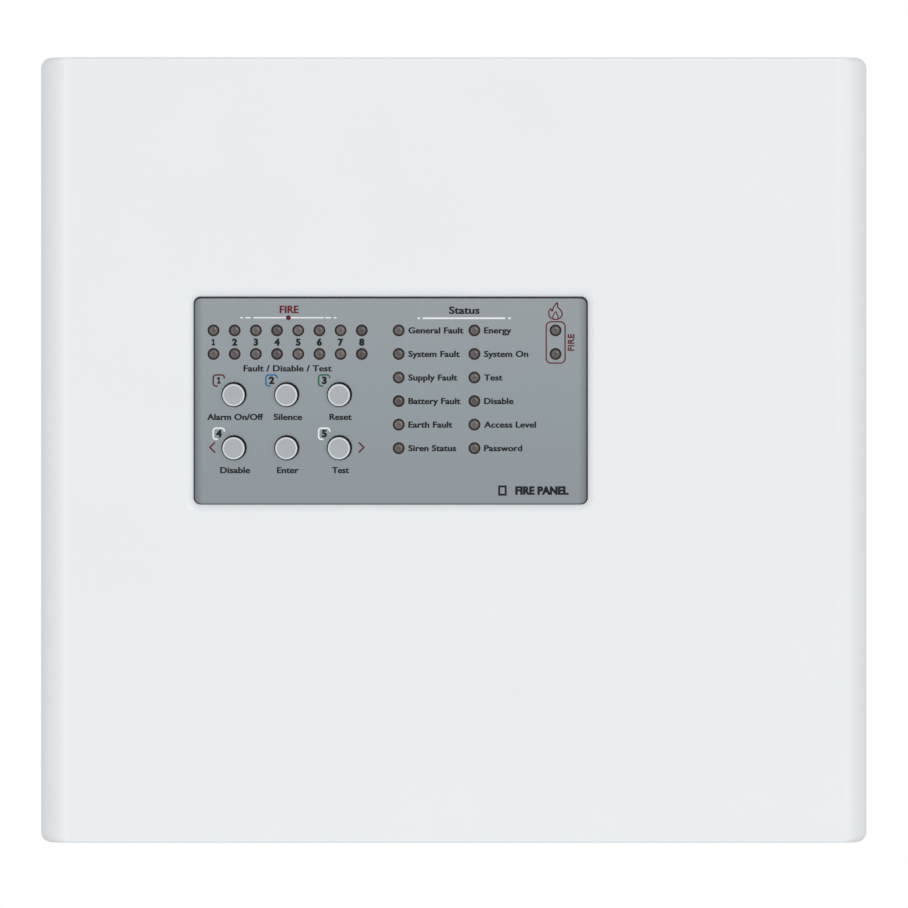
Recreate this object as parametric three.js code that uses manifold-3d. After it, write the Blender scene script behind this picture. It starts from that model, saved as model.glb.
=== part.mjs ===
// Wall-mounted fire alarm control panel: a shallow base box, a hinged front cover with rolled sides,
// a recessed grey display with eight zones, and the boards, power supply and batteries inside.
//
// Millimetres. X to the right, Y into the wall, Z up. The origin is the middle of the wall face, so the
// whole panel lies at negative Y. A name that ends in Y, such as frontY, is a place along Y.
import * as THREE from "three";
import { mergeVertices } from "three/addons/utils/BufferGeometryUtils.js";
import Module from "manifold-3d";

const wasm = await Module();
wasm.setup();

// ---------------------------------------------------------------- driving dimensions

const WIDTH = 320;
const HEIGHT = 304;
const DEPTH = 88;
const WALL = 2.5; // thickness of every moulded wall
const GAP = 0.3; // clearance between pieces that rest on each other
const SEAT = 0.2; // clearance of a component over its board
const BOARD_THICKNESS = 1.6;
const TERMINAL_PITCH = 5.08;

const cover = {
  roll: 12.5, // radius of the rolled left and right sides
  corner: 4, // corner radius seen from the front
  edge: 1, // chamfer along the top and bottom edges
  rearY: -50.5, // where the cover's flange ends
};

const base = {
  halfWidth: WIDTH / 2 - 5.5,
  halfHeight: HEIGHT / 2 - 3,
  corner: 3,
  frontY: -66,
  trayY: -72, // the battery tray reaches further forward than the walls
  trayHeight: 19,
};

// The axis lies in the base's outer face, just behind the cover's flange.
const hinge = {
  x: -base.halfWidth,
  y: cover.rearY + 2,
  heights: { upper: 100, lower: -100 },
  knuckle: 2.8,
  pin: 1.25,
  bore: 1.6,
  halfLength: 14,
  coverHalfLength: 4.7,
  notch: 4.6, // how far the base is cut back round the cover's knuckle
};

const lock = {
  y: -58,
  heights: { upper: 110, lower: -35 },
  head: 4.2,
  headHeight: 2.1,
  pocket: 5,
  pocketDepth: 3,
  shank: 1.6,
  slot: 2.1, // half the width of the open slot in the base
  bar: { x0: 149, x1: 151.2, halfThickness: 1.5, halfLength: 4.5 },
};

const display = {
  x: -24.4,
  z: 19.4,
  width: 152.6,
  height: 81,
  corner: 2.7,
  lip: 3, // width of the sloping lip round the window
  overlayY: -85.6, // front of the printed overlay
  overlayThickness: 0.4,
  plateY: -85,
  plateThickness: 2,
  plateMargin: 5.7, // how far the plate runs behind the cover, all round
  plateCorner: 3,
  post: 3,
  boardY: -74,
  boardMargin: 0.4,
  boardHoleInset: 4,
};

// Rows are numbered from the top, zones from the left. The lenses stand in holes of the overlay.
const led = {
  lens: 1.5,
  hole: 2.35,
  tipY: -85.4,
  spacerY: -79.5,
  spacerMargin: 2.2,
  slotMargin: 2.6,
  rowZ: 46.3,
  rowPitch: 9.12,
  zoneX: -93,
  zonePitch: 8.2,
  zones: 8,
  statusLeftX: -21.3,
  statusRightX: 8,
  statusRows: 6,
  fireX: 39.4,
};

const key = {
  x: -85,
  z: 21.5,
  pitchX: 20.4,
  pitchZ: 20.6,
  columns: 3,
  cap: 4.3,
  bevel: 0.55,
  hole: 4.8,
  topY: -87.1,
  stem: 1.5,
  stemY: -77.3,
  names: ["alarm", "silence", "reset", "disable", "enter", "test"],
};
const keySwitch = { half: 3, frontY: -77.7, well: 1.8, wellY: -75.8 };

const buzzer = { x: 22, z: 28, radius: 6, height: 9.3 };

const battery = { width: 151, thickness: 65, height: 94, backY: -4, tab: 6.3, tabX: 9, tabY: 21.5 };
battery.bottomZ = -base.halfHeight + WALL + GAP;
battery.topZ = battery.bottomZ + battery.height;
battery.midY = battery.backY - battery.thickness / 2;

const mainBoard = { x0: -140, x1: 50, z0: -12, z1: 98, backY: -10, holeInset: 5 };
mainBoard.frontY = mainBoard.backY - BOARD_THICKNESS;

const terminal = { deep: 12, tall: 12.2, shoulder: 8.3, topFrom: 3, topTo: 9 };

const ribbon = { z: 20, width: 22, thickness: 1, socketHalf: 13 };

const supply = {
  x0: 60, x1: 148, z0: -12, z1: 98,
  plateY: -4.5,
  plateThickness: 1.5,
  boardBackY: -8.4,
  cageTop: 82,
  cageFrontY: -40,
  sheet: 1.2,
  vents: 6,
  ventPitch: 11,
};
supply.boardFrontY = supply.boardBackY - BOARD_THICKNESS;

const fuse = {
  x0: 84, x1: 112, z0: 112, z1: 130,
  frontY: -21.5,
  pivotY: -19,
  pivotZ: 115,
  trunnion: 1,
  halfSlot: 6,
};

const grommet = { x: 114, y: -26, hole: 10, bore: 5 };
const knockouts = { xs: [-114, -76, -38, 0, 38], y: -26, radius: 9.5, groove: 0.8, deep: 1.4 };
const keyholes = { xs: [-125, 132], z: 122, head: 4.5, neck: 2.3, rise: 9 };
const lowerFixings = { xs: [-120, 120], z: -125, radius: 2.5 };
const rearEntry = { x0: -62, x1: 18, z0: 112, z1: 136 };

const CORNER_STEPS = 4;
const ROLL_STEPS = 10;

// ---------------------------------------------------------------- outlines

const range = (count) => Array.from({ length: count }, (_, i) => i);
const polygon = (points) => points.map(([u, v]) => new THREE.Vector2(u, v));

function arc(cx, cy, radius, from, to, steps) {
  return range(steps + 1).map((i) => {
    const angle = from + ((to - from) * i) / steps;
    return new THREE.Vector2(cx + radius * Math.cos(angle), cy + radius * Math.sin(angle));
  });
}

const circle = (cx, cy, radius, segments) =>
  arc(cx, cy, radius, 0, 2 * Math.PI, segments).slice(0, segments);

function roundedRect(cx, cy, width, height, radius, steps = CORNER_STEPS) {
  const quarter = Math.PI / 2;
  const [dx, dy] = [width / 2 - radius, height / 2 - radius];
  return [[1, 1], [-1, 1], [-1, -1], [1, -1]].flatMap(([sx, sy], i) =>
    arc(cx + sx * dx, cy + sy * dy, radius, i * quarter, (i + 1) * quarter, steps),
  );
}

// ---------------------------------------------------------------- solids

function solid(geometry) {
  const bare = geometry.clone();
  bare.deleteAttribute("normal");
  bare.deleteAttribute("uv");
  const merged = mergeVertices(bare, 1e-4);
  return new wasm.Manifold(
    new wasm.Mesh({
      numProp: 3,
      vertProperties: merged.attributes.position.array,
      triVerts: new Uint32Array(merged.index.array),
    }),
  );
}

function geometryOf(made) {
  const mesh = made.getMesh();
  const geometry = new THREE.BufferGeometry();
  geometry.setAttribute("position", new THREE.BufferAttribute(mesh.vertProperties, 3));
  geometry.setIndex(new THREE.BufferAttribute(mesh.triVerts, 1));
  geometry.computeVertexNormals();
  return geometry;
}

function block([x0, x1], [y0, y1], [z0, z1]) {
  const geometry = new THREE.BoxGeometry(x1 - x0, y1 - y0, z1 - z0);
  return solid(geometry.translate((x0 + x1) / 2, (y0 + y1) / 2, (z0 + z1) / 2));
}

// An outline in (y, z), (x, z) or (x, y), run along the third axis from one place to another.
function prism(outline, axis, from, to) {
  const [x, y, z] = [[1, 0, 0], [0, 1, 0], [0, 0, 1]].map((v) => new THREE.Vector3(...v));
  const frames = { x: [y, z, x], y: [x, z, y.clone().negate()], z: [x, y, z] };
  const settings = { depth: to - from, bevelEnabled: false };
  const geometry = new THREE.ExtrudeGeometry(new THREE.Shape(outline), settings);
  geometry.applyMatrix4(new THREE.Matrix4().makeBasis(...frames[axis]));
  const start = axis === "y" ? to : from;
  return solid(geometry.translate(...["x", "y", "z"].map((name) => (name === axis ? start : 0))));
}

const rod = (axis, u, v, radius, from, to, segments = 12) =>
  prism(circle(u, v, radius, segments), axis, from, to);

// A solid between two outlines of equally many points, in (x, z), at two places along y.
function taper(front, frontY, rear, rearY) {
  const places = [...front.map((p) => [p.x, frontY, p.y]), ...rear.map((p) => [p.x, rearY, p.y])];
  const count = front.length;
  const faces = range(count).flatMap((i) => {
    const next = (i + 1) % count;
    const sides = [[i, count + i, next], [next, count + i, count + next]];
    const isFan = i > 0 && i < count - 1;
    return isFan ? [...sides, [0, i, i + 1], [count, count + i + 1, count + i]] : sides;
  });
  const geometry = new THREE.BufferGeometry();
  geometry.setAttribute("position", new THREE.Float32BufferAttribute(places.flat(), 3));
  geometry.setIndex(faces.flat());
  return solid(geometry);
}

// A profile of [radius, place], listed from front to back, turned about the Y axis through (x, z).
function turned(profile, x, z, segments) {
  const geometry = new THREE.LatheGeometry(polygon(profile), segments);
  return solid(geometry.translate(x, 0, z));
}

const union = (first, ...rest) => rest.reduce((all, next) => all.add(next), first);
const without = (whole, ...cuts) => whole.subtract(union(...cuts));

// The stretch between two distances from a place, on one side of it, with its lower end first.
const span = (from, side, near, far) =>
  [from + side * near, from + side * far].sort((a, b) => a - b);
const about = (middle, half) => [middle - half, middle + half];

// ---------------------------------------------------------------- materials and nodes

const material = (color, roughness, metalness = 0) =>
  new THREE.MeshStandardMaterial({ color, roughness, metalness });

const finish = {
  coverWhite: material(0xeaeef1, 0.35),
  baseWhite: material(0xe6eaec, 0.5),
  fasciaGrey: material(0x8f989d, 0.55),
  overlayGrey: material(0x939ca1, 0.5),
  buttonGrey: material(0xaeb4b8, 0.45),
  lensSmoke: material(0x5a4f4c, 0.2),
  steel: material(0xb9bcc0, 0.35, 1),
  cageSteel: material(0xa8adb0, 0.45, 1),
  boardGreen: material(0x1f5c3a, 0.5),
  terminalGreen: material(0x2f8a4c, 0.45),
  plasticBlack: material(0x1b1c1e, 0.45),
  batteryGrey: material(0x33363a, 0.5),
  transformerYellow: material(0xcaa53a, 0.5),
  rubberBlack: material(0x161616, 0.8),
  wireRed: material(0xa81f1c, 0.45),
  wireBlack: material(0x151515, 0.45),
  ribbonGrey: material(0x9a9da0, 0.5),
};

const panel = new THREE.Group();

function add(name, made, look) {
  const mesh = new THREE.Mesh(geometryOf(made), look);
  mesh.name = name;
  panel.add(mesh);
}

// ---------------------------------------------------------------- front cover

const coverInnerY = -DEPTH + WALL;
const rootY = coverInnerY - 0.5; // features on the cover's inside start here, within its wall

function coverShell(inset, frontY, rearY) {
  const [halfWidth, halfHeight] = [WIDTH / 2 - inset, HEIGHT / 2 - inset];
  const roll = cover.roll - inset;
  const quarter = Math.PI / 2;
  const section = [
    ...arc(-halfWidth + roll, frontY + roll, roll, -2 * quarter, -quarter, ROLL_STEPS),
    ...arc(halfWidth - roll, frontY + roll, roll, -quarter, 0, ROLL_STEPS),
    ...polygon([[halfWidth, rearY], [-halfWidth, rearY]]),
  ];
  const outline = roundedRect(0, 0, 2 * halfWidth, 2 * halfHeight, cover.corner - inset);
  return prism(section, "z", ...about(0, halfHeight)).intersect(prism(outline, "y", frontY, rearY));
}

function coverEdges() {
  const [rear, { edge }, half] = [cover.rearY + 1, cover, HEIGHT / 2];
  const section = [
    [rear, -half], [-DEPTH + edge, -half], [-DEPTH, -half + edge],
    [-DEPTH, half - edge], [-DEPTH + edge, half], [rear, half],
  ];
  return prism(polygon(section), "x", ...about(0, WIDTH));
}

function windowCuts() {
  const { x, z, width, height, corner, lip } = display;
  const hole = (grow) => roundedRect(x, z, width + 2 * grow, height + 2 * grow, corner + grow);
  const slopeFrontY = -DEPTH - 0.01; // just in front of the cover
  return [
    prism(hole(0), "y", -DEPTH - 1, coverInnerY + 1),
    taper(hole(lip), slopeFrontY, hole(0), rootY),
  ];
}

// Snap hooks that hold the fascia plate against the back of the cover.
function plateHooks() {
  const { x, z, height, plateMargin, plateY, plateThickness } = display;
  const [hookY, endY] = [plateY + plateThickness + GAP, plateY + 3.6];
  const edge = height / 2 + plateMargin + GAP;
  const [halfLength, thick, catchDepth] = [5, 1.5, 1.2];
  return [-50, 0, 50].flatMap((along) =>
    [1, -1].flatMap((side) => {
      const ends = about(x + along, halfLength);
      return [
        block(ends, [rootY, endY], span(z, side, edge, edge + thick)),
        block(ends, [hookY, endY], span(z, side, edge - catchDepth, edge + thick)),
      ];
    }),
  );
}

// Ribs that keep the batteries back in their tray.
function batteryRibs() {
  const rearY = battery.backY - battery.thickness - 2 * GAP;
  return [-76, 76].map((x) => block(about(x, 0.8), [rootY, rearY], [-120, -70]));
}

function coverKnuckle(height) {
  const { x, y, knuckle, coverHalfLength } = hinge;
  const ends = about(height, coverHalfLength);
  const flange = -WIDTH / 2 + WALL;
  return union(
    rod("z", x, y, knuckle, ...ends, 14),
    block([flange - 0.5, flange + 2], [cover.rearY - 4.5, y], ends),
  );
}

function withLockBoss(made, z) {
  const { y, pocket, pocketDepth, shank } = lock;
  const [innerX, outerX] = [base.halfWidth + 0.9, WIDTH / 2];
  const boss = rod("x", y, z, pocket + 1.5, innerX, outerX - 1, 16);
  return without(
    made.add(boss),
    rod("x", y, z, pocket, outerX - pocketDepth, outerX + 1, 16),
    rod("x", y, z, shank + GAP, innerX - 1, outerX),
  );
}

function makeCover() {
  const heights = Object.values(hinge.heights);
  const inside = coverShell(WALL, coverInnerY, cover.rearY + 1);
  const skin = coverShell(0, -DEPTH, cover.rearY).intersect(coverEdges());
  const shell = without(skin, inside, ...windowCuts());
  const whole = union(shell, ...plateHooks(), ...batteryRibs(), ...heights.map(coverKnuckle));
  const bored = without(
    whole,
    ...heights.map((z) => rod("z", hinge.x, hinge.y, hinge.bore, ...about(z, 6))),
  );
  add("front_cover", Object.values(lock.heights).reduce(withLockBoss, bored), finish.coverWhite);
}

// ---------------------------------------------------------------- base box

function baseShell() {
  const { halfWidth, halfHeight, corner, frontY, trayY, trayHeight } = base;
  const trayTop = -halfHeight + trayHeight;
  const trayDepth = [trayY, frontY + 1];
  const outer = prism(roundedRect(0, 0, 2 * halfWidth, 2 * halfHeight, corner), "y", frontY, 0);
  const tray = block(about(0, halfWidth), trayDepth, [-halfHeight + corner, trayTop]);
  const sill = block(about(0, halfWidth - corner), trayDepth, [-halfHeight, trayTop]);
  const [innerX, innerZ] = [about(0, halfWidth - WALL), halfHeight - WALL];
  return without(
    union(outer, tray, sill),
    block(innerX, [trayY + WALL, -WALL], [-innerZ, trayTop + 1]),
    block(innerX, [trayY - 1, -WALL], [trayTop, innerZ]),
  );
}

const holesOf = ({ x0, x1, z0, z1 }, inset) =>
  [x0 + inset, x1 - inset].flatMap((x) => [z0 + inset, z1 - inset].map((z) => [x, z]));

const mainHoles = holesOf(mainBoard, mainBoard.holeInset);

// Hooks that hold the power supply's base plate down by its long edges.
function supplyHooks() {
  const [rearY, frontY, catchY] = [-WALL + 0.5, -7, supply.plateY - GAP];
  return [10, 66].flatMap((z) =>
    [[supply.x0, -1], [supply.x1, 1]].flatMap(([edge, side]) => [
      block(span(edge, side, GAP, 2), [frontY, rearY], about(z, 4)),
      block(span(edge, side, -1.5, 2), [frontY, catchY], about(z, 4)),
    ]),
  );
}

function knockoutGroove(x) {
  const { y, radius, groove, deep } = knockouts;
  const bottom = base.halfHeight - deep;
  const ring = (r, more) => rod("z", x, y, r, bottom - more, base.halfHeight + 1 + more, 14);
  return without(ring(radius + groove, 0), ring(radius, 1));
}

function keyhole(x) {
  const { z, head, neck, rise } = keyholes;
  const through = [-WALL - 1, 1];
  return union(
    rod("y", x, z, head, ...through, 14),
    rod("y", x, z + rise, neck, ...through, 10),
    block(about(x, neck), through, [z, z + rise]),
  );
}

function hingeCuts(z) {
  const { x, y, knuckle, coverHalfLength, halfLength, bore, notch } = hinge;
  return [
    block([x - knuckle - 1, x + WALL + 1], about(y, notch), about(z, coverHalfLength + GAP)),
    rod("z", x, y, bore, ...about(z, halfLength + 0.01)),
  ];
}

// A slot, open at the front, that takes a lock's shank as the cover closes.
function lockSlot(z) {
  const along = [base.halfWidth - WALL - 1, base.halfWidth + 1];
  return [
    block(along, [base.frontY - 1, lock.y], about(z, lock.slot)),
    rod("x", lock.y, z, lock.slot, ...along),
  ];
}

function makeBase() {
  const { x, y, knuckle, halfLength } = hinge;
  const throughBack = [-WALL - 1, 1];
  const pillarFrontY = mainBoard.backY + SEAT;
  const heights = Object.values(hinge.heights);
  const whole = union(
    baseShell(),
    ...mainHoles.map(([px, pz]) => rod("y", px, pz, 3.5, pillarFrontY, -WALL + 0.5)),
    ...supplyHooks(),
    ...heights.map((z) => rod("z", x, y, knuckle, ...about(z, halfLength), 14)),
  );
  const ribbonNotch = block(
    [x - 1, x + WALL + 1],
    [base.frontY - 1, y - 1.5],
    about(ribbon.z, ribbon.width / 2 + 6),
  );
  const made = without(
    whole,
    ribbonNotch,
    ...heights.flatMap(hingeCuts),
    ...Object.values(lock.heights).flatMap(lockSlot),
    ...mainHoles.map(([px, pz]) => rod("y", px, pz, 1.6, mainBoard.backY, -WALL - 1)),
    ...lowerFixings.xs.map((px) => rod("y", px, lowerFixings.z, lowerFixings.radius, ...throughBack)),
    ...keyholes.xs.map(keyhole),
    ...knockouts.xs.map(knockoutGroove),
    block([rearEntry.x0, rearEntry.x1], throughBack, [rearEntry.z0, rearEntry.z1]),
    rod("z", grommet.x, grommet.y, grommet.hole, base.halfHeight - WALL - 1, HEIGHT / 2, 18),
  );
  add("base_box", made, finish.baseWhite);
}

// ---------------------------------------------------------------- hinge pins, locks and grommet

function makeHingePins() {
  for (const [place, z] of Object.entries(hinge.heights)) {
    const ends = about(z, hinge.halfLength - SEAT);
    add(`hinge_pin_${place}`, rod("z", hinge.x, hinge.y, hinge.pin, ...ends), finish.steel);
  }
}

// A quarter-turn stud: slotted head in the cover's pocket, and a cross bar inside the base's wall.
function makeLocks() {
  const { y, head, headHeight, shank, bar } = lock;
  const headX = WIDTH / 2 - lock.pocketDepth + GAP;
  for (const [place, z] of Object.entries(lock.heights)) {
    const stud = union(
      rod("x", y, z, head, headX, headX + headHeight, 18),
      rod("x", y, z, shank, bar.x0 + 0.6, headX + 0.5),
      block([bar.x0, bar.x1], about(y, bar.halfThickness), about(z, bar.halfLength)),
    );
    const slot = block([headX + headHeight - 1, headX + 3], about(y, 0.5), about(z, 3.2));
    add(`cover_lock_${place}`, without(stud, slot), finish.steel);
  }
}

function makeGrommet() {
  const { x, y, hole, bore } = grommet;
  const [top, inside] = [base.halfHeight, base.halfHeight - WALL];
  const ring = (radius, from, to) => rod("z", x, y, radius, from, to, 18);
  const whole = union(
    ring(hole + 2.5, top + GAP, top + 1.8),
    ring(hole - GAP, inside - 1, top + 1),
    ring(hole + 2, inside - GAP - 1.6, inside - GAP),
  );
  add("cable_grommet", without(whole, rod("z", x, y, bore, 0, HEIGHT, 14)), finish.rubberBlack);
}

// ---------------------------------------------------------------- fascia

const rowZ = (row) => led.rowZ - led.rowPitch * row;
const zoneRow = (row) => range(led.zones).map((i) => [led.zoneX + led.zonePitch * i, rowZ(row)]);
const column = (x, rows) => range(rows).map((row) => [x, rowZ(row)]);

// Every group of lamps: a row or column of lenses on one spacer.
const lampGroups = {
  zone_fire_leds: zoneRow(0),
  zone_fault_leds: zoneRow(1),
  status_leds_left: column(led.statusLeftX, led.statusRows),
  status_leds_right: column(led.statusRightX, led.statusRows),
  fire_leds: column(led.fireX, 2),
};

const keys = key.names.map((name, i) => ({
  name,
  x: key.x + key.pitchX * (i % key.columns),
  z: key.z - key.pitchZ * Math.floor(i / key.columns),
}));

function boundsOf(places, margin) {
  const [xs, zs] = [places.map(([x]) => x), places.map(([, z]) => z)];
  return [xs, zs].map((all) => [Math.min(...all) - margin, Math.max(...all) + margin]);
}

const displayBoard = {
  x0: display.x - display.width / 2 + display.boardMargin,
  x1: display.x + display.width / 2 - display.boardMargin,
  z0: display.z - display.height / 2 + display.boardMargin,
  z1: display.z + display.height / 2 - display.boardMargin,
};
const displayHoles = holesOf(displayBoard, display.boardHoleInset);

const keyHoles = (through) => keys.map((k) => rod("y", k.x, k.z, key.hole, ...through, 16));

function makeOverlay() {
  const { x, z, width, height, corner, overlayY, overlayThickness } = display;
  const rearY = overlayY + overlayThickness;
  const through = [overlayY - 1, rearY + 1];
  const outline = roundedRect(x, z, width - 2 * GAP, height - 2 * GAP, corner - GAP);
  const lampHoles = Object.values(lampGroups)
    .flat()
    .map(([px, pz]) => rod("y", px, pz, led.hole, ...through, 8));
  const sheet = prism(outline, "y", overlayY, rearY);
  add("label_overlay", without(sheet, ...lampHoles, ...keyHoles(through)), finish.overlayGrey);
}

function makeFasciaPlate() {
  const { x, z, width, height, plateY, plateThickness, plateMargin, plateCorner } = display;
  const rearY = plateY + plateThickness;
  const through = [plateY - 1, rearY + 1];
  const size = [width + 2 * plateMargin, height + 2 * plateMargin];
  const sheet = prism(roundedRect(x, z, ...size, plateCorner, 2), "y", plateY, rearY);
  const slots = Object.values(lampGroups).map((places) => {
    const [xs, zs] = boundsOf(places, led.slotMargin);
    return block(xs, through, zs);
  });
  const postEndY = display.boardY - SEAT;
  const posts = displayHoles.map(([px, pz]) => rod("y", px, pz, display.post, rearY - 0.5, postEndY));
  const pilots = displayHoles.map(([px, pz]) => rod("y", px, pz, 1.5, rearY + 2, postEndY + 1, 10));
  const plate = union(without(sheet, ...slots, ...keyHoles(through)), ...posts);
  add("fascia_plate", without(plate, ...pilots), finish.fasciaGrey);
}

// Cap, retaining flange behind the plate, and the stem that works the switch.
function makeButtons() {
  const flangeY = display.plateY + display.plateThickness + GAP;
  const [flange, flangeEndY] = [key.hole + 1, flangeY + 0.8];
  const profile = [
    [0, key.topY],
    [key.cap - key.bevel, key.topY],
    [key.cap, key.topY + key.bevel],
    [key.cap, flangeY],
    [flange, flangeY],
    [flange, flangeEndY],
    [key.stem, flangeEndY],
    [key.stem, key.stemY],
    [0, key.stemY],
  ];
  for (const k of keys) add(`${k.name}_button`, turned(profile, k.x, k.z, 16), finish.buttonGrey);
}

function makeSwitches() {
  const { half, frontY, well, wellY } = keySwitch;
  for (const k of keys) {
    const body = block(about(k.x, half), [frontY, display.boardY - SEAT], about(k.z, half));
    const made = without(body, rod("y", k.x, k.z, well, frontY - 1, wellY, 10));
    add(`${k.name}_switch`, made, finish.plasticBlack);
  }
}

function makeLamps() {
  const { lens, tipY, spacerY, spacerMargin } = led;
  const [crown, footY] = [lens * 0.6, spacerY + 0.5];
  const profile = [[0, tipY], [crown, tipY + 0.25], [lens, tipY + 0.9], [lens, footY], [0, footY]];
  for (const [name, places] of Object.entries(lampGroups)) {
    const [xs, zs] = boundsOf(places, spacerMargin);
    const lenses = places.map(([x, z]) => turned(profile, x, z, 8));
    const spacer = block(xs, [spacerY, display.boardY - SEAT], zs);
    add(name, union(spacer, ...lenses), finish.lensSmoke);
  }
}

// A pan-head screw. `inwards` is +1 where it points to the wall, -1 where it points to the front.
function screw(x, z, seatY, inwards, length) {
  const [head, headHeight, shank] = [2.7, 1.8, 1.2];
  const [topY, endY] = [seatY - inwards * headHeight, seatY + inwards * length];
  const profile = [[0, topY], [head, topY], [head, seatY], [shank, seatY], [shank, endY], [0, endY]];
  return turned(inwards > 0 ? profile : profile.reverse(), x, z, 10);
}

function addScrews(name, holes, seatY, inwards, length) {
  holes.forEach(([x, z], i) => {
    add(`${name}_screw_${i + 1}`, screw(x, z, seatY, inwards, length), finish.steel);
  });
}

function boardWithHoles({ x0, x1, z0, z1 }, frontY, holes) {
  const rearY = frontY + BOARD_THICKNESS;
  return without(
    block([x0, x1], [frontY, rearY], [z0, z1]),
    ...holes.map(([x, z]) => rod("y", x, z, 1.7, frontY - 1, rearY + 1, 10)),
  );
}

function makeDisplayBoard() {
  const rearY = display.boardY + BOARD_THICKNESS;
  const seatY = rearY + SEAT;
  const { x, z, radius, height } = buzzer;
  add("display_board", boardWithHoles(displayBoard, display.boardY, displayHoles), finish.boardGreen);
  addScrews("display_board", displayHoles, seatY, -1, 6);
  add("buzzer", rod("y", x, z, radius, seatY, seatY + height, 16), finish.plasticBlack);
}

// ---------------------------------------------------------------- ribbon cable and its sockets

// Both sockets take the cable from their left side.
function makeSockets() {
  const heights = about(ribbon.z, ribbon.socketHalf);
  const displaySeatY = display.boardY + BOARD_THICKNESS + SEAT;
  const mainSeatY = mainBoard.frontY - SEAT;
  const displaySocket = block([-97, -89], [displaySeatY, displaySeatY + 8], heights);
  const mainSocket = block([-134, -125], [mainSeatY - 8.7, mainSeatY], heights);
  add("display_socket", displaySocket, finish.plasticBlack);
  add("main_socket", mainSocket, finish.plasticBlack);
}

function makeRibbon() {
  const { z, width, thickness } = ribbon;
  const route = [
    [-97.4, -67.5], [-115, -67.5], [-131, -66.2], [-140, -60], [-143.5, -50],
    [-144, -38], [-143.5, -28], [-141, -20.5], [-137, -17.3], [-134.4, -16.9],
  ];
  const steps = 30;
  const line = new THREE.CatmullRomCurve3(route.map(([x, y]) => new THREE.Vector3(x, y, 0)));
  const edge = (side) =>
    range(steps + 1).map((i) => {
      const [point, along] = [line.getPointAt(i / steps), line.getTangentAt(i / steps)];
      const offset = (side * thickness) / 2;
      return new THREE.Vector2(point.x - along.y * offset, point.y + along.x * offset);
    });
  const outline = [...edge(1), ...edge(-1).reverse()];
  add("ribbon_cable", prism(outline, "z", ...about(z, width / 2)), finish.ribbonGrey);
}

// ---------------------------------------------------------------- main board

// A row of screw terminals along x. `entry` is +1 where the wires enter from above, -1 from below.
function terminals(x, ways, edgeZ, entry, boardY) {
  const { deep, tall, shoulder, topFrom, topTo } = terminal;
  const profile = [
    [0, 0], [shoulder, 0], [tall, topFrom], [tall, topTo], [shoulder, deep], [0, deep],
  ].map(([rise, back]) => [boardY - rise, edgeZ - entry * back]);
  return prism(polygon(profile), "x", x, x + ways * TERMINAL_PITCH);
}

function makeMainBoard() {
  const { z0, z1, frontY } = mainBoard;
  const seatY = frontY - SEAT;
  const relay = (x) => block([x, x + 20], [seatY - 15.5, seatY], [60, 75]);
  add("main_board", boardWithHoles(mainBoard, frontY, mainHoles), finish.boardGreen);
  addScrews("main_board", mainHoles, seatY, 1, 6.5);
  add("zone_terminals", terminals(-127, 16, z1 - 1, 1, seatY), finish.terminalGreen);
  add("siren_terminals", terminals(-38, 12, z1 - 1, 1, seatY), finish.terminalGreen);
  add("battery_terminals", terminals(15, 4, z0 + 1, -1, seatY), finish.terminalGreen);
  add("fire_relay", relay(-30), finish.plasticBlack);
  add("fault_relay", relay(-4), finish.plasticBlack);
  add("microcontroller", block([-85, -71], [seatY - 1.6, seatY], [40, 54]), finish.plasticBlack);
}

// ---------------------------------------------------------------- power supply and fuse

function makeSupplyBoard() {
  const { x0, x1, z0, z1, plateY, boardFrontY, boardBackY } = supply;
  const edges = { x0: x0 + 5, x1: x1 - 5, z0: z0 + 3, z1: z1 - 2 };
  const feet = holesOf(edges, 5).map(([x, z]) =>
    rod("y", x, z, 2.5, boardBackY - 0.5, plateY - GAP, 8),
  );
  const board = block([edges.x0, edges.x1], [boardFrontY, boardBackY], [edges.z0, edges.z1]);
  add("power_supply_board", union(board, ...feet), finish.boardGreen);
}

function makeSupplyCage() {
  const { x0, x1, z0, plateY, boardFrontY, cageTop, cageFrontY, sheet, vents, ventPitch } = supply;
  const [edge, bottom, rearY] = [3, z0 + 0.5, plateY - GAP];
  const ventHoles = range(vents).map((i) => {
    const x = x0 + 14 + i * ventPitch;
    return block([x, x + 4], [cageFrontY - 1, cageFrontY + 2], [54, 74]);
  });
  // The board runs out through the cage's top, to its terminals.
  const boardPassage = block([x0 + 4.5, x1 - 4.5], [boardFrontY - 0.6, 0], [cageTop - 5, cageTop + 1]);
  const inside = block(
    [x0 + edge + sheet, x1 - edge - sheet],
    [cageFrontY + sheet, 0],
    [bottom + sheet, cageTop - sheet],
  );
  const outside = block([x0 + edge, x1 - edge], [cageFrontY, rearY], [bottom, cageTop]);
  const cage = without(outside, inside, boardPassage, ...ventHoles);
  add("power_supply_cage", cage, finish.cageSteel);
}

function makePowerSupply() {
  const { x0, x1, z0, z1, plateY, plateThickness, boardFrontY } = supply;
  const seatY = boardFrontY - SEAT;
  const plate = block([x0, x1], [plateY, plateY + plateThickness], [z0, z1]);
  add("power_supply_base", plate, finish.cageSteel);
  makeSupplyBoard();
  const transformer = block([86, 116], [seatY - 23.8, seatY], [20, 50]);
  add("power_supply_transformer", transformer, finish.transformerYellow);
  makeSupplyCage();
  add("power_supply_terminals", terminals(80, 8, z1 - 3, 1, seatY), finish.plasticBlack);
}

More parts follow.
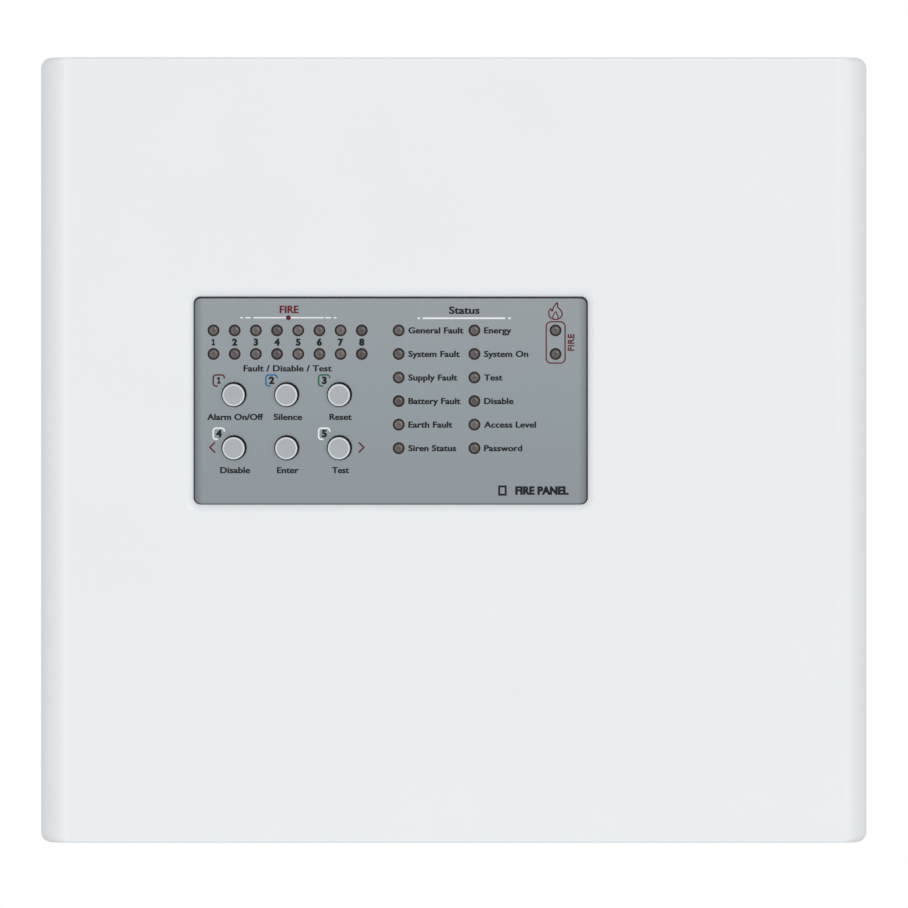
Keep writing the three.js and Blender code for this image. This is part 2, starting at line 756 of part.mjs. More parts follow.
// A fused terminal whose carrier tips forward on two trunnions.
function makeFuse() {
  const { x0, x1, z0, z1, frontY, pivotY, pivotZ, trunnion, halfSlot } = fuse;
  const middle = (x0 + x1) / 2;
  const axle = (radius, half) => rod("x", pivotY, pivotZ, radius, ...about(middle, half), 10);
  const body = without(
    block([x0, x1], [frontY, -WALL - GAP], [z0, z1]),
    block(about(middle, halfSlot), [frontY - 1, pivotY + 2.5], [z0 - 1, z1 + 1]),
    axle(trunnion + GAP, halfSlot + 2),
  );
  const carrier = union(
    block(about(middle, halfSlot - GAP), [pivotY - 6, pivotY + 1.5], [pivotZ - 1.5, pivotZ + 16]),
    axle(trunnion, halfSlot + 1.6),
    block(about(middle, 3), [pivotY - 9, pivotY - 5], [pivotZ + 12, pivotZ + 16]),
  );
  add("mains_fuse_block", body, finish.plasticBlack);
  add("fuse_carrier", carrier, finish.plasticBlack);
}

// ---------------------------------------------------------------- batteries and wiring

function makeBatteries() {
  const { width, thickness, bottomZ, topZ, midY, tab, tabX, tabY } = battery;
  const lidZ = topZ - 6;
  for (const [place, side] of [["left", -1], ["right", 1]]) {
    const middle = side * (GAP + width / 2);
    const body = prism(roundedRect(middle, midY, width, thickness, 3, 2), "z", bottomZ, lidZ);
    const lidOutline = roundedRect(middle, midY, width - 3, thickness - 3, 3, 2);
    const lid = prism(lidOutline, "z", lidZ - 1, topZ);
    const tabs = [1, -1].map((end) =>
      block(about(side * tabX, tab / 2), about(midY + end * tabY, 0.4), [topZ - 0.5, topZ + tab]),
    );
    add(`battery_${place}`, union(body, lid, ...tabs), finish.batteryGrey);
  }
}

// One round wire, or a flat pair of them side by side, along a smooth route.
function wire(points, radius, steps, pair = false) {
  const line = new THREE.CatmullRomCurve3(points.map((p) => new THREE.Vector3(...p)));
  const apart = radius * 0.9;
  const section = pair
    ? [...arc(0, apart, radius, 0, Math.PI, 4), ...arc(0, -apart, radius, Math.PI, 2 * Math.PI, 4)]
    : circle(0, 0, radius, 8);
  const settings = { steps, extrudePath: line, bevelEnabled: false };
  return solid(new THREE.ExtrudeGeometry(new THREE.Shape(section), settings));
}

function makeBatteryLeads() {
  const { midY, tabY, tabX } = battery;
  const tabZ = battery.topZ + battery.tab + GAP;
  const [frontY, backY] = [midY - tabY, midY + tabY];
  const [leadY, boardZ, radius] = [-17, mainBoard.z0 + 0.6, 1.3];
  const link = [
    [-tabX, frontY, tabZ], [-tabX, frontY, tabZ + 7], [-5, frontY, tabZ + 12],
    [5, frontY, tabZ + 12], [tabX, frontY, tabZ + 7], [tabX, frontY, tabZ],
  ];
  const black = [
    [-tabX, backY, tabZ], [-tabX, backY, tabZ + 8], [-3, backY - 2, tabZ + 16],
    [11, leadY, tabZ + 21], [17.6, leadY, tabZ + 26], [17.6, leadY, boardZ],
  ];
  const red = [
    [tabX, backY, tabZ], [tabX, backY, tabZ + 6], [13, backY - 2, tabZ + 12],
    [25, leadY, tabZ + 17], [27.8, leadY, tabZ + 25], [27.8, leadY, boardZ],
  ];
  add("battery_link", wire(link, radius, 14), finish.wireRed);
  add("battery_lead_black", wire(black, radius, 14), finish.wireBlack);
  add("battery_lead_red", wire(red, radius, 14), finish.wireRed);
}

function makeSupplyLeads() {
  const supplyTop = supply.z1 - 3 + 2 * GAP;
  const boardTop = mainBoard.z1 - 1 + 2 * GAP;
  const dc = [
    [85, -15.5, supplyTop + 0.2], [84, -16, supplyTop + 7], [76, -18, 107], [50, -19, 108.5],
    [26, -19, 107.5], [15, -17.6, 105], [13, -17, 101], [13, -17, boardTop],
  ];
  const mains = [
    [101, -9, fuse.z0 - 3 * GAP], [101, -10, 107.5], [102, -14, 103.5], [102, -15, supplyTop + 0.2],
  ];
  add("dc_lead", wire(dc, 1.1, 20, true), finish.wireBlack);
  add("mains_lead", wire(mains, 1.2, 8, true), finish.wireBlack);
}

makeBase();
makeCover();
makeHingePins();
makeLocks();
makeGrommet();
makeFasciaPlate();
makeOverlay();
makeButtons();
makeSwitches();
makeLamps();
makeDisplayBoard();
makeSockets();
makeRibbon();
makeMainBoard();
makePowerSupply();
makeFuse();
makeBatteries();
makeBatteryLeads();
makeSupplyLeads();

export default panel;
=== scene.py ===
"""A wall-mounted fire alarm control panel: the looks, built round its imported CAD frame.

Forms are made in millimetres in the frame's own axes (X right, Y into the wall, Z up) and scaled to
metres when a piece is done. A name that ends in _y is a place along Y.
"""

import math

import bmesh
import bpy
from mathutils import Matrix, Vector


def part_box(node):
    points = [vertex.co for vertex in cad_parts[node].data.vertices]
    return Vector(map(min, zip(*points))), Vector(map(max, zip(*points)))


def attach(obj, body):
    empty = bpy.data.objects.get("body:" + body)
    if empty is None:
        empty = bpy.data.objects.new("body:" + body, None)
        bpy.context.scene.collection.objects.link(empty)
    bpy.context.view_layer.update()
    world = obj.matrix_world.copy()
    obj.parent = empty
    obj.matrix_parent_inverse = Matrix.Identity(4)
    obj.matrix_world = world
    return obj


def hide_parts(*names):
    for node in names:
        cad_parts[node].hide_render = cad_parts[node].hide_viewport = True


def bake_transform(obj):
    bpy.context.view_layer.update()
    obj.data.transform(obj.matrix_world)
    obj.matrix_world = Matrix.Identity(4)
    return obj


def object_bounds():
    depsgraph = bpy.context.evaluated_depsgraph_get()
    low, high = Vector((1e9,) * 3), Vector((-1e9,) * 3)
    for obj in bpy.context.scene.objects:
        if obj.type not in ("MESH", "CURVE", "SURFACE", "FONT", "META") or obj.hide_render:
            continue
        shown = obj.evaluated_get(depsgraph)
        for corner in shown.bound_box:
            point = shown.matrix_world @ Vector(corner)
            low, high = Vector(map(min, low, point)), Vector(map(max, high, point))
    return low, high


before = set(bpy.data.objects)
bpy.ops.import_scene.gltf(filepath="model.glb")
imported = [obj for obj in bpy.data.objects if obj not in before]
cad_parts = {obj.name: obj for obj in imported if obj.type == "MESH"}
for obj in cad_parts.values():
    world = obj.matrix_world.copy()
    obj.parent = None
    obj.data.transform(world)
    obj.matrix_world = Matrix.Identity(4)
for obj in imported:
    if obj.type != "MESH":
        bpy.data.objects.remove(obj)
cad_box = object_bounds()

MM = 0.001
KEYS = ("alarm", "silence", "reset", "disable", "enter", "test")
PAIR = ("upper", "lower")  # the two hinges, and the two locks
LAMP_GROUPS = {
    "zone_fire_leds": 8,
    "zone_fault_leds": 8,
    "status_leds_left": 6,
    "status_leds_right": 6,
    "fire_leds": 2,
}
LAMP_MARGIN = 2.2  # from a spacer's edge to its first lens

# ---------------------------------------------------------------- places, read from the frame


def span(node):
    """Lowest and highest corner of a CAD node, in millimetres."""
    low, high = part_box(node)
    return Vector(low) / MM, Vector(high) / MM


def middle(node):
    low, high = span(node)
    return (low + high) / 2


def lamp_places(node):
    """The (x, z) of each lens in a row or column, from its spacer's box."""
    low, high = span(node)
    gaps = LAMP_GROUPS[node] - 1
    centre = (low + high) / 2
    if high.x - low.x > high.z - low.z:
        pitch = (high.x - low.x - 2 * LAMP_MARGIN) / gaps
        return [(low.x + LAMP_MARGIN + pitch * i, centre.z) for i in range(gaps + 1)]
    pitch = (high.z - low.z - 2 * LAMP_MARGIN) / gaps
    return [(centre.x, high.z - LAMP_MARGIN - pitch * i) for i in range(gaps + 1)]


COVER_LOW, COVER_HIGH = (Vector(corner) / MM for corner in cad_box)
COVER_FRONT_Y = COVER_LOW.y
COVER_REAR_Y = -50.5
COVER_WALL = 2.5
FILM_LOW, FILM_HIGH = span("label_overlay")
FILM_FRONT_Y = FILM_LOW.y


def link(name, data):
    """A new object in the scene."""
    made = bpy.data.objects.new(name, data)
    bpy.context.collection.objects.link(made)
    return made


# ---------------------------------------------------------------- camera

PHOTO_WIDTH = 0.35134  # what the picture spans at the panel's front, in metres
CAMERA_DISTANCE = 6.0
CAMERA_X, CAMERA_Z = 0.0001, -0.00155


def add_camera():
    data = bpy.data.cameras.new("camera")
    data.lens = data.sensor_width * CAMERA_DISTANCE / PHOTO_WIDTH
    data.clip_end = 60
    camera = link("camera", data)
    camera.location = (CAMERA_X, COVER_FRONT_Y * MM - CAMERA_DISTANCE, CAMERA_Z)
    camera.rotation_euler = (math.radians(90), 0, 0)
    bpy.context.scene.camera = camera


add_camera()

# ---------------------------------------------------------------- materials


class Look:
    """A material in the making. A node's input may be a value or another node's output."""

    def __init__(self, name, **constants):
        self.material = bpy.data.materials.new(name)
        self.material.use_nodes = True
        self.tree = self.material.node_tree
        self.shader = self.tree.nodes["Principled BSDF"]
        for key, value in constants.items():
            self.shader.inputs[key.replace("_", " ")].default_value = value
        self.place = self.add("TexCoord").outputs["Object"]

    def feed(self, socket, value):
        if isinstance(value, bpy.types.NodeSocket):
            self.tree.links.new(value, socket)
        else:
            socket.default_value = value

    def add(self, kind, settings=None, **inputs):
        node = self.tree.nodes.new("ShaderNode" + kind)
        for key, value in (settings or {}).items():
            setattr(node, key, value)
        for key, value in inputs.items():
            self.feed(node.inputs[key.replace("_", " ")], value)
        return node

    def noise(self, scale, detail=3.0, vector=None):
        return self.add("TexNoise", Vector=vector or self.place, Scale=scale, Detail=detail).outputs[0]

    def bands(self, direction, profile, scale, distortion=0.0):
        settings = {"bands_direction": direction, "wave_profile": profile}
        node = self.add("TexWave", settings, Vector=self.place, Scale=scale, Distortion=distortion)
        return node.outputs[1]

    def ramp(self, factor, *stops):
        """Colours at places between 0 and 1."""
        node = self.add("ValToRGB", Fac=factor)
        stops = [(place, (*colour, 1)) for place, colour in stops]
        ends = node.color_ramp.elements
        ends[0].position, ends[0].color = stops[0]
        ends[1].position, ends[1].color = stops[-1]
        for place, colour in stops[1:-1]:
            node.color_ramp.elements.new(place).color = colour
        return node.outputs[0]

    def between(self, factor, low, high, start=0.0, end=1.0):
        """Spreads a factor's stretch from start to end over low to high."""
        ends = {"From_Min": start, "From_Max": end, "To_Min": low, "To_Max": high}
        return self.add("MapRange", Value=factor, **ends).outputs[0]

    def math(self, operation, a, b):
        node = self.add("Math", {"operation": operation})
        self.feed(node.inputs[0], a)
        self.feed(node.inputs[1], b)
        return node.outputs[0]

    def finish(self, colour, roughness, height=None, depth=0.02):
        """depth is the height's full swing, in millimetres."""
        self.feed(self.shader.inputs["Base Color"], colour)
        self.feed(self.shader.inputs["Roughness"], roughness)
        if height is not None:
            bump = self.add("Bump", Height=height, Strength=1.0, Distance=depth * MM)
            self.feed(self.shader.inputs["Normal"], bump.outputs[0])
        return self.material


def shades(colour, spread):
    """A darker and a lighter version of a colour."""
    return [tuple(min(1.0, c * (1 + side * spread)) for c in colour) for side in (-1, 1)]


def moulded(name, colour, rough, grain=2600, depth=0.01, spread=0.015):
    """Moulded plastic: a fine grain, faint cloudiness in the colour and uneven gloss."""
    made = Look(name)
    dark, light = shades(colour, spread)
    shade = made.ramp(made.noise(26, 4), (0.3, dark), (0.7, light))
    return made.finish(shade, made.between(made.noise(120), *rough), made.noise(grain, 2), depth)


def printed(name, colour, spread=0.1):
    """Screen ink: even colour with a slightly soft, matt surface."""
    made = Look(name, Specular_IOR_Level=0.25)
    dark, light = shades(colour, spread)
    shade = made.ramp(made.noise(1500, 2), (0.35, dark), (0.65, light))
    return made.finish(shade, made.between(made.noise(700), 0.45, 0.6), made.noise(5000, 2), 0.002)


def plated(name, colour, rough=(0.24, 0.42), spangle=420):
    """Zinc-plated steel: crystal spangle in tone and gloss, with fine scratches."""
    made = Look(name, Metallic=1.0)
    dark, light = shades(colour, 0.12)
    cells = made.add("TexVoronoi", Vector=made.place, Scale=spangle).outputs["Color"]
    stretched = made.add("Mapping", Vector=made.place, Scale=(1, 9, 1)).outputs[0]
    scratches = made.noise(900, 4, stretched)
    tone = made.math("ADD", made.math("MULTIPLY", cells, 0.6), made.math("MULTIPLY", scratches, 0.4))
    shade = made.ramp(tone, (0.2, dark), (0.8, light))
    return made.finish(shade, made.between(tone, *rough), scratches, 0.004)


def solder_mask():
    """A circuit board: blocks of copper runs under green mask, upright or level, with small vias."""
    made = Look("circuit_board", Specular_IOR_Level=0.5)
    mask = (0.010, 0.088, 0.042)
    copper = tuple(1.6 * c + 0.008 for c in mask)
    blocks = made.add("VectorMath", {"operation": "SNAP"}, Vector=made.place)
    blocks.inputs[1].default_value = (13 * MM, 1, 9 * MM)
    chance = made.add("TexWhiteNoise", Vector=blocks.outputs[0]).outputs["Value"]
    upright, level = (made.math("GREATER_THAN", made.bands(way, "TRI", 230), 0.6) for way in ("X", "Z"))
    upright = made.math("MULTIPLY", upright, made.math("LESS_THAN", chance, 0.34))
    level = made.math("MULTIPLY", level, made.math("GREATER_THAN", chance, 0.6))
    vias = made.add("TexVoronoi", Vector=made.place, Scale=150).outputs["Distance"]
    vias = made.math("MULTIPLY", made.math("LESS_THAN", vias, 0.09), 0.7)
    raised = made.math("MAXIMUM", made.math("ADD", upright, level), vias)
    shade = made.ramp(raised, (0.0, mask), (1.0, copper))
    return made.finish(shade, made.between(raised, 0.32, 0.24), raised, 0.035)


def lamp_lens(name, colour, gloss):
    """Smoky lens plastic, a little different from lamp to lamp."""
    made = Look(name, Coat_Weight=0.3, Coat_Roughness=0.22)
    own = made.add("NewGeometry").outputs["Random Per Island"]
    dark, light = shades(colour, 0.3)
    return made.finish(made.ramp(own, (0.0, dark), (1.0, light)), made.between(made.noise(2200), *gloss))


def film_ink():
    """The display film's grey, with painted shade: darker towards its foot, as under light from above, and
    towards its left and right edges, as shade in the window's recess.
    """
    made = Look("film_grey_painted_shade")
    spot = made.add("SeparateXYZ", Vector=made.place).outputs
    rise = made.between(spot[2], 0, 1, FILM_LOW.z * MM, FILM_HIGH.z * MM)
    # Painted shade: the foot is darker than the head, as when lit from above.
    foot, centre, head = (0.246, 0.276, 0.302), (0.263, 0.302, 0.321), (0.287, 0.318, 0.336)
    tone = made.ramp(rise, (0.0, foot), (0.5, centre), (1.0, head))
    # Painted shade along the left and right edges, deepest at the edge and fading out over 3.4 mm.
    from_left = made.math("SUBTRACT", spot[0], FILM_LOW.x * MM)
    from_right = made.math("SUBTRACT", FILM_HIGH.x * MM, spot[0])
    edge = made.between(made.math("MINIMUM", from_left, from_right), 0, 1, end=3.4 * MM)
    shade = made.between(made.math("POWER", edge, 0.5), 0.34, 1.0)
    shade = made.math("MULTIPLY", shade, made.between(made.noise(3600, 2), 0.97, 1.03))
    grey_with_painted_shade = made.add("Mix", {"data_type": "RGBA", "blend_type": "MULTIPLY"})
    for number, value in ((0, 1), (6, tone), (7, shade)):  # the factor, and the two colours
        made.feed(grey_with_painted_shade.inputs[number], value)
    gloss = made.between(made.noise(140), 0.46, 0.56)
    return made.finish(grey_with_painted_shade.outputs[2], gloss, made.noise(4200, 2), 0.006)


def ribbon_insulation():
    """Grey flat cable; the strand at its upper edge is marked red."""
    made = Look("ribbon_grey")
    edge = span("ribbon_cable")[1].z * MM
    height = made.add("SeparateXYZ", Vector=made.place).outputs[2]
    marked = made.math("GREATER_THAN", height, edge - 1.3 * MM)
    shade = made.math("MAXIMUM", made.math("MULTIPLY", made.noise(900), 0.35), marked)
    dark, light, red = (0.24, 0.25, 0.265), (0.31, 0.32, 0.335), (0.36, 0.03, 0.03)
    colour = made.ramp(shade, (0.1, dark), (0.35, light), (1.0, red))
    return made.finish(colour, made.between(made.noise(500), 0.38, 0.52), made.noise(3000), 0.004)


def taped():
    """Polyester tape over a winding: overlapping turns with faint creases."""
    made = Look("transformer_tape", Coat_Weight=0.4)
    turns = made.bands("Z", "SAW", 60, 0.4)
    shade = made.ramp(turns, (0.0, (0.42, 0.27, 0.035)), (1.0, (0.60, 0.41, 0.06)))
    return made.finish(shade, made.between(made.noise(300), 0.28, 0.45), turns, 0.05)


def pale_floor():
    made = Look("pale_floor")
    shade = made.ramp(made.noise(3), (0.3, (0.78, 0.785, 0.79)), (0.7, (0.82, 0.825, 0.83)))
    return made.finish(shade, made.between(made.noise(8), 0.6, 0.75), made.noise(60), 0.1)


COVER_WHITE = moulded("cover_white", (0.815, 0.837, 0.852), (0.30, 0.37), 1500, 0.003, 0.006)
BASE_WHITE = moulded("base_white", (0.78, 0.805, 0.82), (0.45, 0.56), 2200, 0.012)
PLATE_GREY = moulded("plate_grey", (0.25, 0.29, 0.31), (0.5, 0.6))
CAP_GREY = moulded("cap_grey", (0.401, 0.423, 0.437), (0.34, 0.44), 3600, 0.004, 0.02)
# A lighter copy of the keys' grey: a painted highlight for their rounded rims.
CAP_RIM_HIGHLIGHT = moulded("cap_rim_painted_highlight", (0.69, 0.71, 0.73), (0.18, 0.26), 3600, 0.002, 0.02)
BLACK = moulded("black_plastic", (0.012, 0.012, 0.013), (0.36, 0.5), spread=0.15)
HOLDER = moulded("lamp_holder", (0.072, 0.056, 0.054), (0.5, 0.62), spread=0.1)
BATTERY_GREY = moulded("battery_grey", (0.030, 0.033, 0.038), (0.44, 0.6), 2300, 0.02, 0.1)
BATTERY_LID = moulded("battery_lid", (0.022, 0.024, 0.028), (0.36, 0.48), 2300, 0.012, 0.1)
GREEN = moulded("terminal_green", (0.025, 0.22, 0.07), (0.3, 0.42), 2600, 0.008, 0.06)
RUBBER = moulded("rubber_black", (0.010, 0.010, 0.010), (0.68, 0.85), 1500, 0.03, 0.15)
WIRE_RED = moulded("wire_red", (0.36, 0.012, 0.010), (0.3, 0.44), 2600, 0.006, 0.06)
WIRE_BLACK = moulded("wire_black", (0.009, 0.009, 0.009), (0.32, 0.46), 2600, 0.006, 0.1)
WIRE_BROWN = moulded("wire_brown", (0.085, 0.030, 0.012), (0.3, 0.44), 2600, 0.006, 0.08)
RELAY_BLUE = moulded("relay_blue", (0.018, 0.07, 0.21), (0.28, 0.4), 2600, 0.006, 0.05)
RESISTOR = moulded("resistor_buff", (0.42, 0.32, 0.2), (0.36, 0.5), spread=0.08)
INK_BLACK = printed("ink_black", (0.006, 0.007, 0.008))
INK_RED = printed("ink_red", (0.125, 0.005, 0.008))
INK_WHITE = printed("ink_white", (0.80, 0.81, 0.82), 0.02)
INK_RUST = printed("ink_rust", (0.115, 0.018, 0.018))
INK_BLUE = printed("ink_blue", (0.018, 0.145, 0.33))
INK_GREEN = printed("ink_green", (0.020, 0.135, 0.065))
LABEL_GREY = printed("label_grey", (0.50, 0.51, 0.52))
STEEL = plated("steel", (0.60, 0.61, 0.63))
CAGE_STEEL = plated("cage_steel", (0.52, 0.54, 0.55), (0.32, 0.48), 160)
SOLDER = plated("solder", (0.62, 0.62, 0.61), (0.2, 0.34), 900)
BRASS = plated("brass", (0.62, 0.46, 0.2), (0.26, 0.4), 700)
LENS_RING = lamp_lens("lens_ring", (0.106, 0.086, 0.081), (0.24, 0.34))
LENS_EYE = lamp_lens("lens_eye", (0.076, 0.062, 0.059), (0.26, 0.36))

# ---------------------------------------------------------------- outlines and paths


def arc(cx, cz, radius, start, end, steps):
    """Points on a circle, with its angles in degrees."""
    angles = [math.radians(start + (end - start) * i / steps) for i in range(steps + 1)]
    return [(cx + radius * math.cos(a), cz + radius * math.sin(a)) for a in angles]


def circle(cx, cz, radius, count=32):
    return arc(cx, cz, radius, 0, 360, count)[:-1]


def rounded(low, high, radius, steps=6):
    """A rectangle with round corners, anticlockwise from its right side."""
    left, right = low[0] + radius, high[0] - radius
    foot, head = low[1] + radius, high[1] - radius
    outline = []
    for i, corner in enumerate([(right, head), (left, head), (left, foot), (right, foot)]):
        outline += arc(*corner, radius, 90 * i, 90 * (i + 1), steps)
    return outline


def inset_box(low, high, inset, radius, steps=6):
    """A rounded outline drawn in from the x and z of a box's two corners."""
    return rounded((low.x + inset, low.z + inset), (high.x - inset, high.z - inset), radius, steps)


def plus(x, z, long, wide):
    """A cross outline, by the half lengths of its arms."""
    quarter = [(wide, long), (wide, wide), (long, wide)]
    turns = [(1, 0, 0, 1), (0, 1, -1, 0), (-1, 0, 0, -1), (0, -1, 1, 0)]
    return [(x + a * u + b * v, z + c * u + d * v) for a, b, c, d in turns for u, v in quarter]


def smooth_path(points, steps=8, closed=False):
    """A Catmull-Rom curve through a few points."""
    points = [Vector(p) for p in points]
    count = len(points)
    made = []
    for i in range(count if closed else count - 1):
        if closed:
            p0, p1, p2, p3 = (points[(i + k) % count] for k in (-1, 0, 1, 2))
        else:
            p1, p2 = points[i], points[i + 1]
            p0 = points[i - 1] if i else 2 * p1 - p2
            p3 = points[i + 2] if i + 2 < count else 2 * p2 - p1
        square, cube = 2 * p0 - 5 * p1 + 4 * p2 - p3, 3 * p1 - 3 * p2 + p3 - p0
        for step in range(steps):
            t = step / steps
            made.append(0.5 * (2 * p1 + (p2 - p0) * t + square * t**2 + cube * t**3))
    return made if closed else [*made, points[-1]]


# ---------------------------------------------------------------- solids

AXES = {
    "x": Matrix(((0, 0, 1, 0), (1, 0, 0, 0), (0, 1, 0, 0), (0, 0, 0, 1))),
    "y": Matrix(((1, 0, 0, 0), (0, 0, 1, 0), (0, 1, 0, 0), (0, 0, 0, 1))),
    "z": Matrix.Identity(4),
}
STAND = Matrix.Rotation(math.pi / 2, 4, "X")  # stands a flat curve up, facing -Y
CAPITAL = 0.682  # a capital's height as a share of the font's size
WELD = 1e-5


def evaluated_mesh(holder):
    """A new mesh of an object as it stands, with its modifiers or its curve settings applied."""
    bpy.context.view_layer.update()
    return bpy.data.meshes.new_from_object(holder.evaluated_get(bpy.context.evaluated_depsgraph_get()))


def round_off(part, edges, width, segments=2):
    bmesh.ops.bevel(part, geom=edges, offset=width, segments=segments, affect="EDGES", profile=0.5)


def skin(part, loops, closed):
    """Faces between loops of equally many vertices; closed joins the last loop to the first."""
    pairs = list(zip(loops, loops[1:]))
    if closed:
        pairs.append((loops[-1], loops[0]))
    for one, two in pairs:
        for i in range(len(one)):
            part.faces.new((one[i - 1], one[i], two[i], two[i - 1]))


class Solid:
    """One piece in the making: closed forms in millimetres, each in its own look."""

    def __init__(self):
        self.bm = bmesh.new()
        self.looks = []

    def index(self, look):
        if look not in self.looks:
            self.looks.append(look)
        return self.looks.index(look)

    def take(self, part, look=None, fix=True):
        """Adds a finished form; without a look its faces keep the ones they have."""
        if look is not None:
            number = self.index(look)
            for face in part.faces:
                face.material_index = number
        if fix:
            bmesh.ops.recalc_face_normals(part, faces=part.faces)
        mesh = bpy.data.meshes.new("part")
        part.to_mesh(mesh)
        part.free()
        self.bm.from_mesh(mesh)
        bpy.data.meshes.remove(mesh)
        return self

    def take_curve(self, curve, matrix, look):
        """Adds a curve or text as a mesh."""
        holder = link("curve", curve)
        mesh = evaluated_mesh(holder)
        part = bmesh.new()
        part.from_mesh(mesh)
        bmesh.ops.remove_doubles(part, verts=part.verts, dist=WELD)
        bmesh.ops.transform(part, matrix=matrix, verts=part.verts)
        bpy.data.objects.remove(holder)
        bpy.data.meshes.remove(mesh)
        return self.take(part, look)

    def block(self, low, high, look, bevel=0.25, segments=2):
        """A box with rounded edges."""
        low, high = Vector(low), Vector(high)
        part = bmesh.new()
        bmesh.ops.create_cube(part, size=1)
        place = Matrix.Translation((low + high) / 2) @ Matrix.Diagonal((*(high - low), 1))
        bmesh.ops.transform(part, matrix=place, verts=part.verts)
        if bevel:
            round_off(part, part.edges[:], min(bevel, min(high - low) * 0.45), segments)
        return self.take(part, look)

    def loft(self, rings, look, closed=False):
        """Skins rings of equally many points. Open lofts are capped, closed ones run round to the start."""
        part = bmesh.new()
        loops = [[part.verts.new(p) for p in ring] for ring in rings]
        skin(part, loops, closed)
        if not closed:
            part.faces.new(loops[0])
            part.faces.new(loops[-1])
        return self.take(part, look)

    def lathe(self, profile, at, look, axis="y", count=48):
        """Turns a profile of (radius, place along the axis); one that starts off the axis makes a ring.

        look is one material, or one for each stretch of the profile.
        """
        looks = look if isinstance(look, list) else [look] * len(profile)
        part = bmesh.new()
        rings = []
        for radius, place in profile:
            spots = circle(0, 0, radius, count) if radius > 1e-6 else [(0, 0)]
            rings.append([part.verts.new((u, v, place)) for u, v in spots])
        pairs = list(zip(rings, rings[1:]))
        if len(rings[0]) > 1:
            pairs.append((rings[-1], rings[0]))
        for (one, two), finish in zip(pairs, looks):
            for i in range(count):
                a, b = (one[i - 1], one[i]) if len(one) > 1 else (one[0], one[0])
                c, d = (two[i], two[i - 1]) if len(two) > 1 else (two[0], two[0])
                corners = list(dict.fromkeys((a, b, c, d)))
                part.faces.new(corners).material_index = self.index(finish)
        bmesh.ops.transform(part, matrix=Matrix.Translation(at) @ AXES[axis], verts=part.verts)
        return self.take(part)

    def rod(self, radius, start, end, at, look, axis="y", count=48):
        """A plain cylinder along an axis."""
        return self.lathe([(0, start), (radius, start), (radius, end), (0, end)], at, look, axis, count)

    def prism(self, outline, axis, start, end, look, bevel=0.2):
        """An outline run along an axis, with its end edges rounded."""
        part = bmesh.new()
        loops = [[part.verts.new((u, v, place)) for u, v in outline] for place in (start, end)]
        for loop in loops:
            part.faces.new(loop)
        skin(part, loops, closed=False)
        bmesh.ops.transform(part, matrix=AXES[axis], verts=part.verts)
        if bevel:
            bmesh.ops.recalc_face_normals(part, faces=part.faces)
            round_off(part, [e for e in part.edges if e.calc_face_angle(0) > 0.6], bevel)
        return self.take(part, look)

    def sheet(self, outline, holes, front_y, rear_y, look, edge=0.05):
        """A flat sheet across Y, with softened edges round its outline and its holes."""
        curve = bpy.data.curves.new("sheet", "CURVE")
        curve.dimensions = "2D"
        curve.fill_mode = "BOTH"
        for loop in (outline, *(hole[::-1] for hole in holes)):
            spline = curve.splines.new("POLY")
            spline.points.add(len(loop) - 1)
            for point, (x, z) in zip(spline.points, loop):
                point.co = (x, z, 0, 1)
            spline.use_cyclic_u = True
        curve.extrude = (rear_y - front_y) / 2 - edge
        curve.bevel_depth = edge
        curve.bevel_resolution = 1
        curve.offset = -edge
        return self.take_curve(curve, Matrix.Translation((0, (front_y + rear_y) / 2, 0)) @ STAND, look)

    def lettering(self, text, x, z, height, look, width=None, stretch=1.0, align=0.5, turn=0, front_y=0,
                  bold=0.019):
        """Bold text, by the height of its capitals; align is the share of its width that lies before x."""
        curve = bpy.data.curves.new("text", "FONT")
        curve.body = text
        curve.size = height / CAPITAL
        curve.extrude = 0.03
        curve.offset = bold * curve.size
        curve.resolution_u = 4
        curve.space_character = 1.03
        probe = link("probe", curve)
        bpy.context.view_layer.update()
        reach = [corner[0] for corner in probe.bound_box]
        low, high = min(reach), max(reach)
        if width:
            stretch = width / (high - low)
        anchor = low + (high - low) * align
        bpy.data.objects.remove(probe)
        place = (
            Matrix.Translation((x, front_y - 0.01, z))
            @ Matrix.Rotation(math.radians(-turn), 4, "Y")
            @ STAND
            @ Matrix.Diagonal((stretch, 1, 1, 1))
            @ Matrix.Translation((-anchor, -height / 2, 0))
        )
        # Printed twice, a hair apart, for the heavy upright strokes of bold capitals.
        apart = min(0.09, 0.035 * height)
        self.take_curve(curve.copy(), Matrix.Translation((-apart, -0.006, 0)) @ place, look)
        return self.take_curve(curve, Matrix.Translation((apart, 0, 0)) @ place, look)

    def stroke(self, path, width, look, front_y, closed=False, rise=0.04):
        """A printed line of even width along a path of (x, z)."""
        path = [Vector(p) for p in path]
        count = len(path)
        rings = []
        for i, point in enumerate(path):
            before = path[i - 1] if i or closed else point
            after = path[(i + 1) % count] if i + 1 < count or closed else point
            ways = [w.normalized() for w in (point - before, after - point) if w.length > 1e-9]
            along = sum(ways, Vector((0, 0))).normalized()
            lean = max(0.5, abs(ways[0].dot(along)))
            offset = Vector((-along.y, along.x)) * (width / 2 / lean)
            one, two = point + offset, point - offset
            top, foot = front_y - rise, front_y + 0.02
            corners = ((one, top), (one, foot), (two, foot), (two, top))
            rings.append([(spot.x, y, spot.y) for spot, y in corners])
        return self.loft(rings, look, closed)

    def tube(self, path, radius, look, resolution=4):
        """A round wire along a path."""
        curve = bpy.data.curves.new("tube", "CURVE")
        curve.dimensions = "3D"
        spline = curve.splines.new("POLY")
        spline.points.add(len(path) - 1)
        for point, place in zip(spline.points, path):
            point.co = (*place, 1)
        curve.bevel_depth = radius
        curve.bevel_resolution = resolution
        curve.use_fill_caps = True
        return self.take_curve(curve, Matrix.Identity(4), look)

